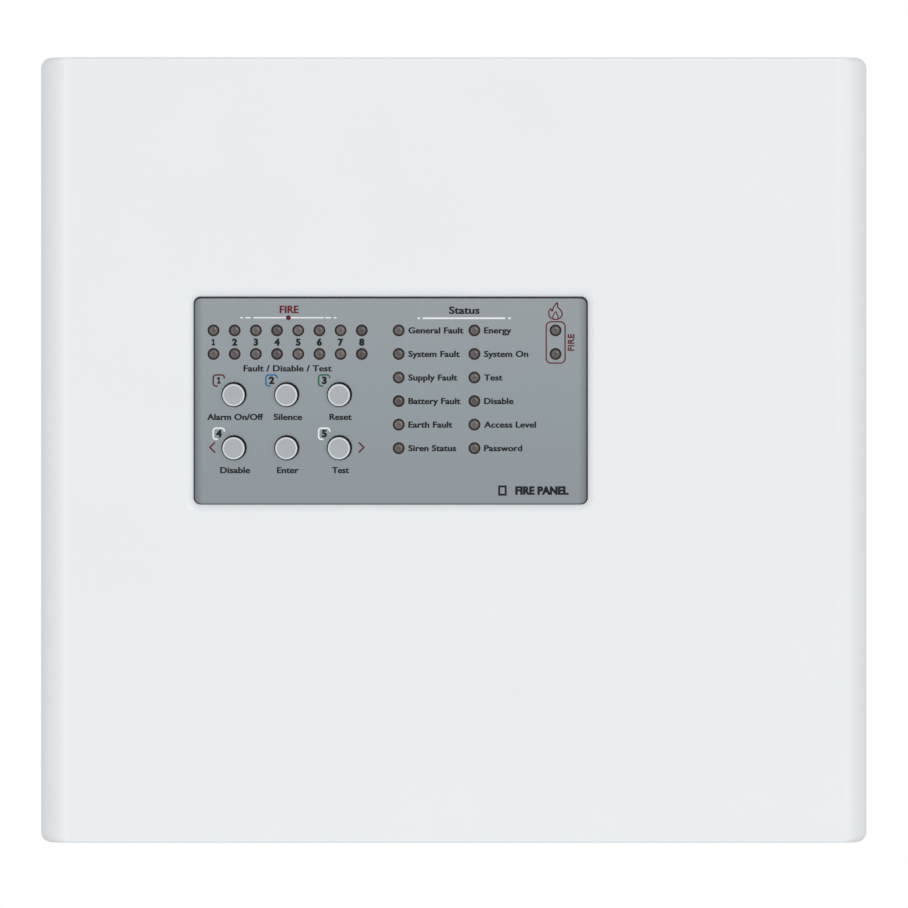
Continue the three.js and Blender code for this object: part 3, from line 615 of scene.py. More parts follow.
    def combine(self, other, operation):
        """Cuts another solid out of this one, or joins it on."""
        holders = []
        for solid in (self, other):
            mesh = bpy.data.meshes.new("operand")
            bmesh.ops.remove_doubles(solid.bm, verts=solid.bm.verts, dist=WELD)
            solid.bm.to_mesh(mesh)
            for look in solid.looks:
                mesh.materials.append(look)
            holders.append(link("operand", mesh))
        modifier = holders[0].modifiers.new("combine", "BOOLEAN")
        modifier.operation = operation
        modifier.object = holders[1]
        modifier.solver = "EXACT"
        modifier.material_mode = "TRANSFER"
        made = evaluated_mesh(holders[0])
        self.bm.free()
        self.bm = bmesh.new()
        self.bm.from_mesh(made)
        self.looks = list(made.materials)
        for holder in holders:
            bpy.data.objects.remove(holder)
        return self

    def cut(self, other):
        return self.combine(other, "DIFFERENCE")

    def join(self, other):
        return self.combine(other, "UNION")

    def copy_to(self, other, at=(0, 0, 0), turn=0, mirror=False):
        """Adds this solid's forms to another, turned about Y by degrees, then moved by a vector.

        mirror swaps front and back first.
        """
        part = self.bm.copy()
        numbers = [other.index(look) for look in self.looks]
        for face in part.faces:
            face.material_index = numbers[face.material_index]
        place = Matrix.Translation(at) @ Matrix.Rotation(math.radians(turn), 4, "Y")
        if mirror:
            place = place @ Matrix.Diagonal((1, -1, 1, 1))
        bmesh.ops.transform(part, matrix=place, verts=part.verts)
        if mirror:
            bmesh.ops.reverse_faces(part, faces=part.faces)
        return other.take(part, fix=False)

    def made_object(self, name):
        """The object with its mesh, in metres."""
        mesh = bpy.data.meshes.new(name)
        bmesh.ops.scale(self.bm, vec=(MM, MM, MM), verts=self.bm.verts)
        self.bm.to_mesh(mesh)
        self.bm.free()
        for look in self.looks:
            mesh.materials.append(look)
        return link(name, mesh)

    def done(self, name, body, slot, *replaced, angle=32):
        """Makes the piece's object, hangs it on its body and hides the CAD nodes it replaces."""
        piece = self.made_object(name)
        piece.data.shade_smooth()
        piece.data.set_sharp_from_angle(angle=math.radians(angle))
        piece.modifiers.new("normals", "WEIGHTED_NORMAL").keep_sharp = True
        if body:
            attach(piece, body)
        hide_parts(*replaced)
        return piece


# ---------------------------------------------------------------- front cover

ROLL = 12.5
EDGE = 1.0
CORNER = 4.0
FRONT_CORNER = 0.9  # the corner's radius at the very front; it grows to CORNER round the roll
LIP = 3.5
LIP_DEPTH = 2.3
LIP_POWER = 1.55  # between a straight slope at 1 and a round lip at 2
WINDOW_CORNER = 2.7
WINDOW_DROP = 0.5  # how far the window's top stands below the room the frame leaves it
FILM_GAP = 0.3
CORNER_STEPS = 8
LOCK_BORE = 5.0
LOCK_SHAFT_BORE = 1.9
LOCK_WELL = 6.3
HOOK_HALF_WIDTH = 5


def rise_of_roll(radius, behind):
    """How far a quarter round has come out at a depth behind its start."""
    return math.sqrt(max(0.0, radius**2 - (radius - min(behind, radius)) ** 2))


def across_y(outline, depth):
    """An outline of (x, z) stood up at a depth behind the cover's front."""
    return [Vector((x, COVER_FRONT_Y + depth, z)) for x, z in outline]


def cover_ring(depth, inset=0.0):
    """The cover's outline at a depth behind its front, drawn in by inset."""
    roll, edge = ROLL - inset, max(EDGE - inset, 0.05)
    rolled = rise_of_roll(roll, depth - inset)
    half_x = COVER_HIGH.x - ROLL + rolled
    half_z = COVER_HIGH.z - inset - edge + rise_of_roll(edge, depth - inset)
    radius = FRONT_CORNER + (CORNER - inset - FRONT_CORNER) * min(1.0, rolled / roll)
    return across_y(rounded((-half_x, -half_z), (half_x, half_z), radius, CORNER_STEPS), depth)


def window_ring(grow, depth):
    low = (FILM_LOW.x - FILM_GAP - grow, FILM_LOW.z - FILM_GAP - grow)
    high = (FILM_HIGH.x + FILM_GAP + grow, FILM_HIGH.z + FILM_GAP - WINDOW_DROP + grow)
    return across_y(rounded(low, high, WINDOW_CORNER + grow, CORNER_STEPS), depth)


def cover_form():
    """The moulding: round its outside from the front, back up its inside, and out at the window."""
    turns = [math.radians(5 * i) for i in range(19)]
    quarter = [math.radians(9 * i) for i in range(11)]
    reach = COVER_REAR_Y - COVER_FRONT_Y
    rolled = [ROLL * (1 - math.cos(a)) for a in turns]
    eased = [EDGE * (1 - math.cos(a)) for a in turns[::3]]
    within = [COVER_WALL + (ROLL - COVER_WALL) * (1 - math.cos(a)) for a in turns[::2]]
    outer = sorted({round(depth, 4) for depth in rolled + eased} | {22.0, reach - 0.4})
    inner = sorted({round(depth, 4) for depth in within} | {reach - 0.4})
    rings = [cover_ring(depth) for depth in outer]
    rings += [cover_ring(reach, 0.3), cover_ring(reach, COVER_WALL - 0.3)]
    rings += [cover_ring(depth, COVER_WALL) for depth in inner[::-1]]
    rings += [window_ring(0.15, COVER_WALL), window_ring(0, COVER_WALL - 0.12)]
    for a in quarter[::-1]:
        across, down = (max(0.0, share) ** (2 / LIP_POWER) for share in (math.sin(a), math.cos(a)))
        rings.append(window_ring(LIP * (1 - across), LIP_DEPTH * (1 - down)))
    return Solid().loft(rings, COVER_WHITE, closed=True)


def make_cover():
    cover, wells, bores = cover_form(), Solid(), Solid()
    side = COVER_HIGH.x
    for place in PAIR:
        lock = middle(f"cover_lock_{place}")
        at = (0, lock.y, lock.z)
        wells.rod(LOCK_WELL, side - 4.6, side - 1.4, at, COVER_WHITE, "x")
        bore = [(0, side - 3), (LOCK_BORE - 0.1, side - 3), (LOCK_BORE, side - 2.9)]
        bore += [(LOCK_BORE, side - 0.4), (LOCK_BORE + 0.5, side + 1), (0, side + 1)]
        bores.lathe(bore, at, COVER_WHITE, "x")
        bores.rod(LOCK_SHAFT_BORE, side - 10, side - 2, at, COVER_WHITE, "x")
    cover.join(wells).cut(bores).done("cover_shell", "cover", "cover_plastic", "front_cover")


def make_cover_fittings():
    """Hooks that hold the fascia plate, two ribs, and the cover's hinge knuckles."""
    made = Solid()
    low, high = span("fascia_plate")
    centre_x = (low.x + high.x) / 2
    inside_y = COVER_FRONT_Y + COVER_WALL - 0.2
    hook = [(inside_y, 1.5), (inside_y, 0), (-82.7, 0), (-82.7, -1.15), (-82.3, -1.15)]
    hook += [(-81.4, 0.2), (-81.4, 1.5)]
    for x in (centre_x - 50, centre_x, centre_x + 50):
        for edge, side in ((low.z - 0.3, -1), (high.z + 0.3, 1)):
            outline = [(y, edge + side * z) for y, z in hook]
            made.prism(outline, "x", x - HOOK_HALF_WIDTH, x + HOOK_HALF_WIDTH, COVER_WHITE, 0.15)
    for x in (-76, 76):
        made.block((x - 0.8, inside_y, -120), (x + 0.8, -69.7, -70), COVER_WHITE, 0.3)
    for place in PAIR:
        pin = middle(f"hinge_pin_{place}")
        outline = [*arc(pin.x, pin.y, 2.75, -120, 180, 24), (-157.25, -55.0), (-155.3, -55.0)]
        knuckle = Solid().prism(outline, "z", pin.z - 4.6, pin.z + 4.6, COVER_WHITE, 0.25)
        knuckle.cut(Solid().rod(1.6, -8, 8, pin, COVER_WHITE, "z", 24)).copy_to(made)
    made.done("cover_fittings", "cover", "cover_plastic")


make_cover()
make_cover_fittings()

# ---------------------------------------------------------------- display film and its print

KEY_HOLE = 4.95
LAMP_HOLE = 2.3
SMALL_TEXT = 2.25
KEY_LABELS = {
    "alarm": ("Alarm On/Off", 21.6),
    "silence": ("Silence", 10.9),
    "reset": ("Reset", 8.5),
    "disable": ("Disable", 11.5),
    "enter": ("Enter", 8.3),
    "test": ("Test", 6.4),
}
BADGES = {
    "alarm": ("1", INK_RUST),
    "silence": ("2", INK_BLUE),
    "reset": ("3", INK_GREEN),
    "disable": ("4", INK_WHITE),
    "test": ("5", INK_WHITE),
}
STATUS_WORDS = {
    "status_leds_left": (
        "General Fault", "System Fault", "Supply Fault", "Battery Fault", "Earth Fault", "Siren Status",
    ),
    "status_leds_right": ("Energy", "System On", "Test", "Disable", "Access Level", "Password"),
}
PRINTS = {
    "black": INK_BLACK,
    "red": INK_RED,
    "rust": INK_RUST,
    "blue": INK_BLUE,
    "green": INK_GREEN,
    "white": INK_WHITE,
}
LAYERS = {ink: Solid() for ink in PRINTS.values()}


def make_film():
    """The film stands a little low and left in the window, over a black ring that shows in the gap as a
    painted shadow, widest at the top and right.
    """
    # Drawn in most at its top and right, so the painted shadow behind it shows widest there.
    high = (FILM_HIGH.x - 0.25, FILM_HIGH.z - 0.95)
    outline = rounded((FILM_LOW.x + 0.15, FILM_LOW.z), high, WINDOW_CORNER - FILM_GAP, 8)
    holes = [circle(x, z, LAMP_HOLE, 32) for node in LAMP_GROUPS for x, z in lamp_places(node)]
    holes += [circle(middle(f"{key}_button").x, middle(f"{key}_button").z, KEY_HOLE, 56) for key in KEYS]
    film = Solid().sheet(outline, holes, FILM_FRONT_Y, FILM_HIGH.y, film_ink(), 0.06)
    film.done("display_film", "cover", "overlay_film", "label_overlay")
    # A black ring behind the gap round the film: a painted shadow along the window's edge.
    outer, inner = ([(p.x, p.z) for p in window_ring(grow, 0)] for grow in (0.2, -1.6))
    shadow_ring = Solid().sheet(outer, [inner], FILM_HIGH.y + 0.03, FILM_HIGH.y + 0.17, BLACK, 0.02)
    shadow_ring.done("window_painted_shadow_ring", "cover", "rubber_black")


def write(ink, words, x, z, height, **manner):
    LAYERS[ink].lettering(words, x, z, height, ink, front_y=FILM_FRONT_Y, **manner)


def draw(ink, width, path, closed=False):
    LAYERS[ink].stroke(path, width, ink, FILM_FRONT_Y, closed=closed)


def dashes(z, thick, *stretches):
    for start, end in stretches:
        draw(INK_WHITE, thick, [(start, z), (end, z)])


def numeral(digit, x, z, height):
    """A digit; the font's plain 1 is drawn instead with its flag and foot."""
    if digit != "1":
        write(INK_BLACK, digit, x, z, height, bold=0.045)
        return
    thick = 0.2 * height
    low, high = z - height / 2, z + height / 2
    foot = low + thick / 2
    draw(INK_BLACK, 1.1 * thick, [(x, low), (x, high)])
    draw(INK_BLACK, thick, [(x - 0.27 * height, high - 0.27 * height), (x, high - thick / 2)])
    draw(INK_BLACK, thick, [(x - 0.25 * height, foot), (x + 0.25 * height, foot)])


def print_lamps():
    write(INK_RED, "FIRE", -63.7, 54.4, 2.75, width=7.2)
    dashes(51.2, 0.52, (-82.6, -81.6), (-80.7, -78.6), (-77.5, -50.2), (-49.7, -47.5), (-46.5, -45.4))
    LAYERS[INK_RED].rod(0.95, 0, 0.07, (-64.0, FILM_FRONT_Y - 0.06, 51.2), INK_RED, count=24)
    rows = zip(lamp_places("zone_fire_leds"), lamp_places("zone_fault_leds"))
    for number, ((x, upper), (_, lower)) in enumerate(rows, 1):
        numeral(str(number), x, (upper + lower) / 2, 2.45)
    write(INK_BLACK, "Fault / Disable / Test", -64.3, 31.6, 2.3, width=34, bold=0.016)
    write(INK_BLACK, "Status", 4.1, 54.1, 2.7, width=11.7)
    dashes(51.0, 0.66, (-14, -13), (-12.1, 20), (21.1, 22.1))
    for node, words in STATUS_WORDS.items():
        for (x, z), word in zip(lamp_places(node), words):
            write(INK_BLACK, word, x + 3.8, z, SMALL_TEXT, stretch=1.14, align=0)


def badge(key, digit, ink):
    """A key's number in a round-cornered frame that is open at its lower right."""
    cap = middle(f"{key}_button")
    x, z = cap.x - 5.95, cap.z + 5.45
    bend = 1.05
    line = [(x + 2.15, z + 0.75), *arc(x + 1.1, z + bend, bend, 0, 90, 5)]
    line += arc(x - 1.1, z + bend, bend, 90, 180, 5)
    line += [*arc(x - 1.1, z - 1.15, bend, 180, 270, 5), (x - 0.35, z - 2.2)]
    draw(ink, 0.6, line)
    numeral(digit, x + 0.05, z, 2.6)


def print_keys():
    for key, (word, width) in KEY_LABELS.items():
        cap = middle(f"{key}_button")
        write(INK_BLACK, word, cap.x + 0.4, cap.z - 8.7, SMALL_TEXT, width=width)
    for key, (digit, ink) in BADGES.items():
        badge(key, digit, ink)
    for key, side in (("disable", -1), ("test", 1)):
        cap = middle(f"{key}_button")
        tip = cap.x + side * 9.4
        chevron = [(tip - side * 2, cap.z + 2.05), (tip, cap.z + 0.1), (tip - side * 2, cap.z - 1.9)]
        draw(INK_RUST, 0.62, chevron)


def print_fire_box():
    """The frame round the two fire lamps, with a flame above it and its word beside it."""
    (x, upper), (_, lower) = lamp_places("fire_leds")
    z = (upper + lower) / 2
    draw(INK_RUST, 0.5, rounded((x - 3.6, z - 8.1), (x + 3.7, z + 7.9), 1.8), closed=True)
    flame = [(0, -3.2), (-2.1, -2.3), (-2.6, -0.3), (-1.9, 0.9), (-1.3, 0.1), (-0.7, 1.6), (0.6, 3.3),
             (0.9, 1.5), (2.0, 0.4), (2.6, -1.0), (1.9, -2.5)]
    tongue = [(-1.0, -2.8), (-0.9, -1.6), (0.1, -0.2), (0.6, -1.2), (1.0, -2.0), (0.9, -2.8)]
    for shape, width, closed in ((flame, 0.5, True), (tongue, 0.4, False)):
        draw(INK_RUST, width, smooth_path([(x + u, 53.7 + v) for u, v in shape], 5, closed), closed)
    write(INK_RUST, "FIRE", x + 6, z - 0.1, 2.3, width=6.5, turn=90)


def make_print():
    print_lamps()
    print_keys()
    print_fire_box()
    write(INK_BLACK, "FIRE PANEL", 44.4, -15.7, 2.9, width=20.5, align=1, bold=0.045)
    draw(INK_BLACK, 0.75, [(20.1, -14.1), (20.1, -17.3), (17.6, -17.3), (17.6, -14.1)], closed=True)
    for name, ink in PRINTS.items():
        LAYERS[ink].done(f"print_{name}", "cover", "overlay_film")


make_film()
make_print()

# ---------------------------------------------------------------- lamps and keys

KEY_CAP = 4.3
KEY_RIM = 0.6


def make_lamps():
    """Each row or column: lenses with an eye in the middle, their collars, and the spacer behind them."""
    tip, rest = FILM_FRONT_Y + 0.3, FILM_FRONT_Y + 0.95
    profile = [(0, tip + 0.06), (0.55, tip), (0.72, tip), (1.2, tip + 0.05), (1.56, tip + 0.16)]
    profile += [(1.72, tip + 0.34), (1.78, rest - 0.2), (2.2, rest), (2.25, rest + 0.3)]
    profile += [(2.25, rest + 5.3), (0, rest + 5.3)]
    finishes = [LENS_EYE] * 2 + [LENS_RING] * 3 + [HOLDER] * 5
    for node in LAMP_GROUPS:
        low, high = span(node)
        group = Solid()
        for x, z in lamp_places(node):
            group.lathe(profile, (x, 0, z), finishes, count=32)
        group.block((low.x, -79.5, low.z), high, HOLDER, 0.3)
        group.done(f"{node}_lenses", "cover", "led_lens", node)


def make_keys():
    """Round caps with a painted highlight on their rounded rim; each sits a little low and left in its hole,
    so its black side shows widest at the upper right as a painted shadow in the gap.
    """
    for key in KEYS:
        low, high = span(f"{key}_button")
        cap = (low + high) / 2
        top = low.y
        rim = arc(KEY_CAP - KEY_RIM, top + KEY_RIM, KEY_RIM, -90, 0, 6)
        profile = [(0, top + 0.12), (2.6, top + 0.08), (3.45, top + 0.02), *rim, (KEY_CAP, FILM_FRONT_Y)]
        profile += [(KEY_CAP, -82.7), (5.75, -82.7), (5.75, -81.95), (1.5, -81.9), (1.5, -77.3), (0, -77.3)]
        # The rim's lighter grey is a painted highlight; the black below the film's front is the cap's side,
        # seen as a painted shadow in the gap.
        finishes = [CAP_GREY] * 3 + [CAP_RIM_HIGHLIGHT] * 6 + [CAP_GREY] + [BLACK] * 6
        # Set low and left by 0.25 mm so that the painted shadow in the gap is widest at the upper right.
        made = Solid().lathe(profile, (cap.x - 0.25, 0, cap.z - 0.25), finishes, count=72)
        made.done(f"{key}_cap", f"{key}_button", "button_plastic", f"{key}_button")


make_lamps()
make_keys()

# ---------------------------------------------------------------- CAD pieces that keep their shape


def dress(look, *names, bevel=0.3):
    """Gives CAD nodes their finish, with softened edges."""
    for name in names:
        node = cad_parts[name]
        node.data.materials.clear()
        node.data.materials.append(look)
        node.modifiers.new("weld", "WELD").merge_threshold = 0.005 * MM
        flat = node.modifiers.new("flat", "DECIMATE")
        flat.decimate_type = "DISSOLVE"
        flat.angle_limit = math.radians(1)
        edges = node.modifiers.new("edges", "BEVEL")
        edges.width = bevel * MM
        edges.segments = 2
        edges.angle_limit = math.radians(35)


dress(PLATE_GREY, "fascia_plate")
dress(solder_mask(), "display_board", "main_board", "power_supply_board", bevel=0.12)
dress(CAGE_STEEL, "power_supply_base", "power_supply_cage", bevel=0.35)
dress(BLACK, *(f"{key}_switch" for key in KEYS))
dress(BLACK, "mains_fuse_block", "fuse_carrier", bevel=0.5)

# ---------------------------------------------------------------- base box

BASE_WALL = 2.5
BASE_CORNER = 3
BASE_FRONT_Y = -66.0
TRAY_HEIGHT = 19.0
KNOCKOUTS = (-114, -76, -38, 0, 38)
KEYHOLES = (-125, 132)
LOWER_FIXINGS = (-120, 120)
GLAND_HOLE = 9.9
LOCK_SLOT = 2.1


def keyhole(x, z, head=4.5, neck=2.3, rise=9):
    opening = math.degrees(math.asin(neck / head))
    return [*arc(x, z, head, 90 + opening, 450 - opening, 28), *arc(x, z + rise, neck, 0, 180, 12)]


def base_cuts(half_z):
    """Every opening in the base; no two of them meet."""
    cuts = Solid()
    before_y = BASE_FRONT_Y - 2
    for place in PAIR:
        pin = middle(f"hinge_pin_{place}")
        low, high = pin - Vector((4, 4.6, 5)), pin + Vector((3.5, 4.6, 5))
        cuts.block(low, high, BASE_WHITE, 0.3)
        lock = middle(f"cover_lock_{place}")
        slot = [(before_y, lock.z - LOCK_SLOT), *arc(lock.y, lock.z, LOCK_SLOT, -90, 90, 12)]
        cuts.prism([*slot, (before_y, lock.z + LOCK_SLOT)], "x", 151, 156, BASE_WHITE, 0)
    ribbon_z = middle("ribbon_cable").z
    cuts.block((-156, before_y, ribbon_z - 17), (-150, -50, ribbon_z + 17), BASE_WHITE, 0.8)
    fixing = [(0, -5), (2.5, -5), (2.5, -0.6), (3.1, 0.01), (3.1, 1), (0, 1)]
    for x in LOWER_FIXINGS:
        cuts.lathe(fixing, (x, 0, -125), BASE_WHITE, count=28)
    rear_entry = rounded((-62, 112), (18, 136), 2)
    for outline in (*(keyhole(x, 122) for x in KEYHOLES), rear_entry):
        cuts.prism(outline, "y", -5, 1, BASE_WHITE, 0)
    gland = middle("cable_grommet")
    cuts.rod(GLAND_HOLE, half_z - 5, half_z + 1, (gland.x, gland.y, 0), BASE_WHITE, "z")
    groove = [(9.5, half_z - 1.2), (10.2, half_z - 1.2), (10.4, half_z + 1), (9.3, half_z + 1)]
    for x in KNOCKOUTS:
        cuts.lathe(groove, (x, gland.y, 0), BASE_WHITE, "z")
    return cuts


def make_base():
    low, high = span("base_box")
    half_x, half_z = high.x, high.z
    inner_x, inner_z = half_x - BASE_WALL, half_z - BASE_WALL
    tray_top = -half_z + TRAY_HEIGHT
    outline = rounded((-half_x, -half_z), (half_x, half_z), BASE_CORNER, 8)
    shell = Solid().prism(outline, "y", BASE_FRONT_Y, 0, BASE_WHITE, 0.5)
    corner_x, corner_z = half_x - BASE_CORNER, BASE_CORNER - half_z
    sill = [(half_x, tray_top), (-half_x, tray_top), *arc(-corner_x, corner_z, BASE_CORNER, 180, 270, 8)]
    sill += arc(corner_x, corner_z, BASE_CORNER, 270, 360, 8)
    shell.join(Solid().prism(sill, "y", low.y, BASE_FRONT_Y + 6, BASE_WHITE, 0.5))
    tray = (-inner_x, low.y + BASE_WALL, -inner_z), (inner_x, -BASE_WALL, tray_top + 3)
    room = (-inner_x, low.y - 5, tray_top), (inner_x, -BASE_WALL, inner_z)
    for corners in (tray, room):
        shell.cut(Solid().block(*corners, BASE_WHITE, 0.8))
    shell.cut(base_cuts(half_z)).done("base_shell", "base", "base_plastic", "base_box")


def base_fittings():
    """Board pillars, hooks round the power supply, and the base's hinge knuckles."""
    made = Solid()
    pillar = [(1.6, -9.8), (3.2, -9.8), (3.5, -9.5), (3.5, -2.4), (4.3, -1.6), (1.6, -1.6)]
    for number in range(1, 5):
        screw = middle(f"main_board_screw_{number}")
        made.lathe(pillar, (screw.x, 0, screw.z), BASE_WHITE, count=32)
    low, high = span("power_supply_base")
    hook = [(0.3, -2), (0.3, -4.8), (-1.5, -4.8), (-1.2, -5.6), (0.3, -7), (1.6, -7), (2.0, -6.6), (2.0, -2)]
    for z in (10, 66):
        for edge, side in ((low.x, -1), (high.x, 1)):
            made.prism([(edge + side * x, y) for x, y in hook], "z", z - 4, z + 4, BASE_WHITE, 0.15)
    for place in PAIR:
        low, high = span(f"hinge_pin_{place}")
        pin = (low + high) / 2
        for start, end in ((low.z - 0.2, pin.z - 5), (pin.z + 5, high.z + 0.2)):
            tube = [(1.35, start), (2.5, start), (2.8, start + 0.3)]
            tube += [(2.8, end - 0.3), (2.5, end), (1.35, end)]
            made.lathe(tube, (pin.x, pin.y, 0), BASE_WHITE, "z", 32)
    made.done("base_fittings", "base", "base_plastic")


make_base()
base_fittings()

# ---------------------------------------------------------------- hinge pins, locks, screws, grommet


def make_hinge_pin(node):
    low, high = span(node)
    pin = (low + high) / 2
    half = [(0, 0), (0.85, 0), (1.25, 0.4)]
    ends = [(radius, low.z + up) for radius, up in half]
    ends += [(radius, high.z - down) for radius, down in reversed(half)]
    Solid().lathe(ends, (pin.x, pin.y, 0), STEEL, "z", 24).done(f"{node}_rod", "base", "steel", node)


def make_lock(node):
    """A slotted head at the cover's side, a shaft, and the cam at its inner end."""
    low, high = span(node)
    y, z = (low.y + high.y) / 2, (low.z + high.z) / 2
    head = high.x - 2.1
    profile = [(0, low.x + 0.6), (1.6, low.x + 0.6), (1.6, head), (4.0, head), (4.2, head + 0.25)]
    profile += [(4.2, high.x - 0.5), (4.05, high.x - 0.15), (3.7, high.x), (0, high.x)]
    stud = Solid().lathe(profile, (0, y, z), STEEL, "x", 40)
    stud.cut(Solid().block((high.x - 1, y - 0.5, z - 3.2), (high.x + 1, y + 0.5, z + 3.2), BLACK, 0))
    stud.block((low.x, y - 1.5, low.z), (low.x + 2.2, y + 1.5, high.z), STEEL, 0.45)
    stud.done(f"{node}_stud", node, "steel", node)


def make_grommet():
    low, high = span("cable_grommet")
    centre = (low + high) / 2
    below = [(5.6, 0), (11.5, 0), (12, 0.5), (11.8, 1.6), (9.7, 1.7)]
    above = [(9.7, 1.5), (12.4, 1.4), (12.2, 0.5), (11.0, 0), (8.6, 0.05), (8.0, 0.6), (6.6, 0.9)]
    above += [(5.1, 0.5), (4.95, 1.0), (5.3, 1.6)]
    profile = [(radius, low.z + up) for radius, up in below]
    profile += [(radius, high.z - down) for radius, down in above]
    ring = Solid().lathe(profile, (centre.x, centre.y, 0), RUBBER, "z", 56)
    ring.done("cable_grommet_ring", "base", "rubber_black", "cable_grommet")


def make_screw(node, body, inwards):
    """A pan head with a cross recess; inwards is +1 where it points to the wall."""
    low, high = span(node)
    x, z = (low.x + high.x) / 2, (low.z + high.z) / 2
    top, foot = (low.y, high.y) if inwards > 0 else (high.y, low.y)
    shape = [(0, 0), (1.0, 0.04), (1.9, 0.28), (2.5, 0.75), (2.7, 1.25), (2.7, 1.8), (1.2, 1.8)]
    profile = [(radius, top + inwards * deep) for radius, deep in shape]
    profile += [(1.2, foot - inwards * 0.8), (0.4, foot), (0, foot)]
    made = Solid().lathe(profile, (x, 0, z), STEEL, count=32)
    ends = sorted((top - inwards, top + inwards * 0.95))
    made.cut(Solid().prism(plus(x, z, 1.45, 0.3), "y", *ends, BLACK, 0))
    made.done(f"{node}_pan_head", body, "steel", node)


for place in PAIR:
    make_hinge_pin(f"hinge_pin_{place}")
    make_lock(f"cover_lock_{place}")
make_grommet()
for number in range(1, 5):
    make_screw(f"display_board_screw_{number}", "cover", -1)
    make_screw(f"main_board_screw_{number}", "base", 1)

# ---------------------------------------------------------------- board components, built at the origin
#
# Each stands on a board whose face lies at y = 0 and looks towards -Y.

PIN_PITCH = 2.54
LEG_PITCH = 1.27


def can(radius, height, sleeve):
    """An electrolytic capacitor with its scored top."""
    shape = [(radius, 0), (0.3, 0), (0, 0.3), (0, height - 1.6), (0.3, height - 1.3), (0, height - 0.9)]
    shape += [(0.1, height - 0.2), (0.6, height), (0.8, height - 0.12), (radius, height - 0.12)]
    profile = [(radius - inset, -up) for inset, up in shape]
    made = Solid().lathe(profile, (0, 0, 0), [sleeve] * 7 + [SOLDER] * 3, count=32)
    return made.cut(Solid().prism(plus(0, 0, radius - 1.3, 0.12), "y", -height - 1, -height + 0.3, SOLDER, 0))


def resistor(length=6.5, radius=1.15):
    """An axial resistor along Z with its bands and its bent leads."""
    half = length / 2
    places = [-half, -half + 0.3, -half + 1.2, -0.9, -0.5, 0.1, 0.5, half - 1.2, half - 0.3, half]
    radii = [0, radius, radius, *[radius - 0.2] * 4, radius, radius, 0]
    looks = [RESISTOR, RESISTOR, INK_RUST, INK_RUST, RESISTOR, INK_BLACK, RESISTOR, BRASS, RESISTOR]
    centre_y = -radius - 0.3
    made = Solid().lathe(list(zip(radii, places)), (0, centre_y, 0), looks, "z", 16)
    for side in (-1, 1):
        lead = [(centre_y, half - 0.2), (centre_y, half + 1.1), (-radius, half + 1.45), (0.2, half + 1.5)]
        made.tube([(0, y, side * z) for y, z in lead], 0.28, SOLDER, 2)
    return made


def chip(half_x, half_z, tall, legs_x, legs_z, pitch=LEG_PITCH):
    """A flat package; legs_x stand along its upper and lower edges, legs_z along its sides."""
    made = Solid().block((-half_x, -tall, -half_z), (half_x, -0.15, half_z), BLACK, 0.2)
    made.rod(0.4, 0, 0.06, (-half_x + 1.0, -tall - 0.01, half_z - 1.0), LABEL_GREY, count=16)
    waist = -tall / 2
    shape = [(waist - 0.1, 0), (waist + 0.12, 0), (-0.02, 0.55), (-0.02, 1.1), (-0.24, 1.1)]
    leg = Solid().prism([*shape, (-0.24, 0.75), (waist - 0.1, 0.25)], "x", -0.19, 0.19, SOLDER, 0)
    sides = {0: (legs_x, half_z), 180: (legs_x, half_z), 90: (legs_z, half_x), 270: (legs_z, half_x)}
    for turn, (count, reach) in sides.items():
        for i in range(count):
            along = pitch * (i - (count - 1) / 2)
            spot = Matrix.Rotation(math.radians(turn), 4, "Y") @ Vector((along, 0, reach - 0.05))
            leg.copy_to(made, spot, turn)
    return made


def optocoupler():
    made = Solid().block((-2.4, -3.6, -3.2), (2.4, -0.5, 3.2), BLACK, 0.3)
    for x in (-LEG_PITCH, LEG_PITCH):
        for z in (-3.5, 3.5):
            made.block((x - 0.3, -2.0, z - 0.35), (x + 0.3, 0.1, z + 0.35), SOLDER, 0.1)
    return made


def pin_header(pins):
    made = Solid()
    for i in range(pins):
        x = PIN_PITCH * (i - (pins - 1) / 2)
        made.block((x - 1.25, -2.5, -1.25), (x + 1.25, 0, 1.25), BLACK, 0.3)
        made.block((x - 0.32, -8.5, -0.32), (x + 0.32, -2.4, 0.32), BRASS, 0.15)
    return made


def crystal():
    made = Solid().prism(rounded((-5.5, -2.3), (5.5, 2.3), 2.25), "y", -3.6, -0.5, STEEL, 0.4)
    return made.prism(rounded((-5.8, -2.6), (5.8, 2.6), 2.5), "y", -0.5, 0, STEEL, 0.1)


def solder_joint():
    profile = [(0, -0.95), (0.3, -0.9), (0.42, -0.5), (0.62, -0.2), (0.95, -0.02), (0, 0.05)]
    return Solid().lathe(profile, (0, 0, 0), SOLDER, count=12)


def populate(name, body, face_y, plan, rear=False):
    """Puts components on a board: plan lists (component, turn, [(x, z), ...])."""
    made = Solid()
    for component, turn, places in plan:
        for x, z in places:
            component.copy_to(made, (x, face_y, z), turn, mirror=rear)
    made.done(name, body, "black_plastic")


def row(x, z, pitch, count):
    return [(x + pitch * i, z) for i in range(count)]


def silkscreen(name, face_y, words, boxes):
    """White legends and outlines on the main board."""
    made = Solid()
    for text, x, z, height in words:
        made.lettering(text, x, z, height, INK_WHITE, front_y=face_y, bold=0.01)
    for low, high in boxes:
        made.stroke(rounded(low, high, 0.6, 3), 0.25, INK_WHITE, face_y, closed=True)
    made.done(name, "base", "circuit_board")


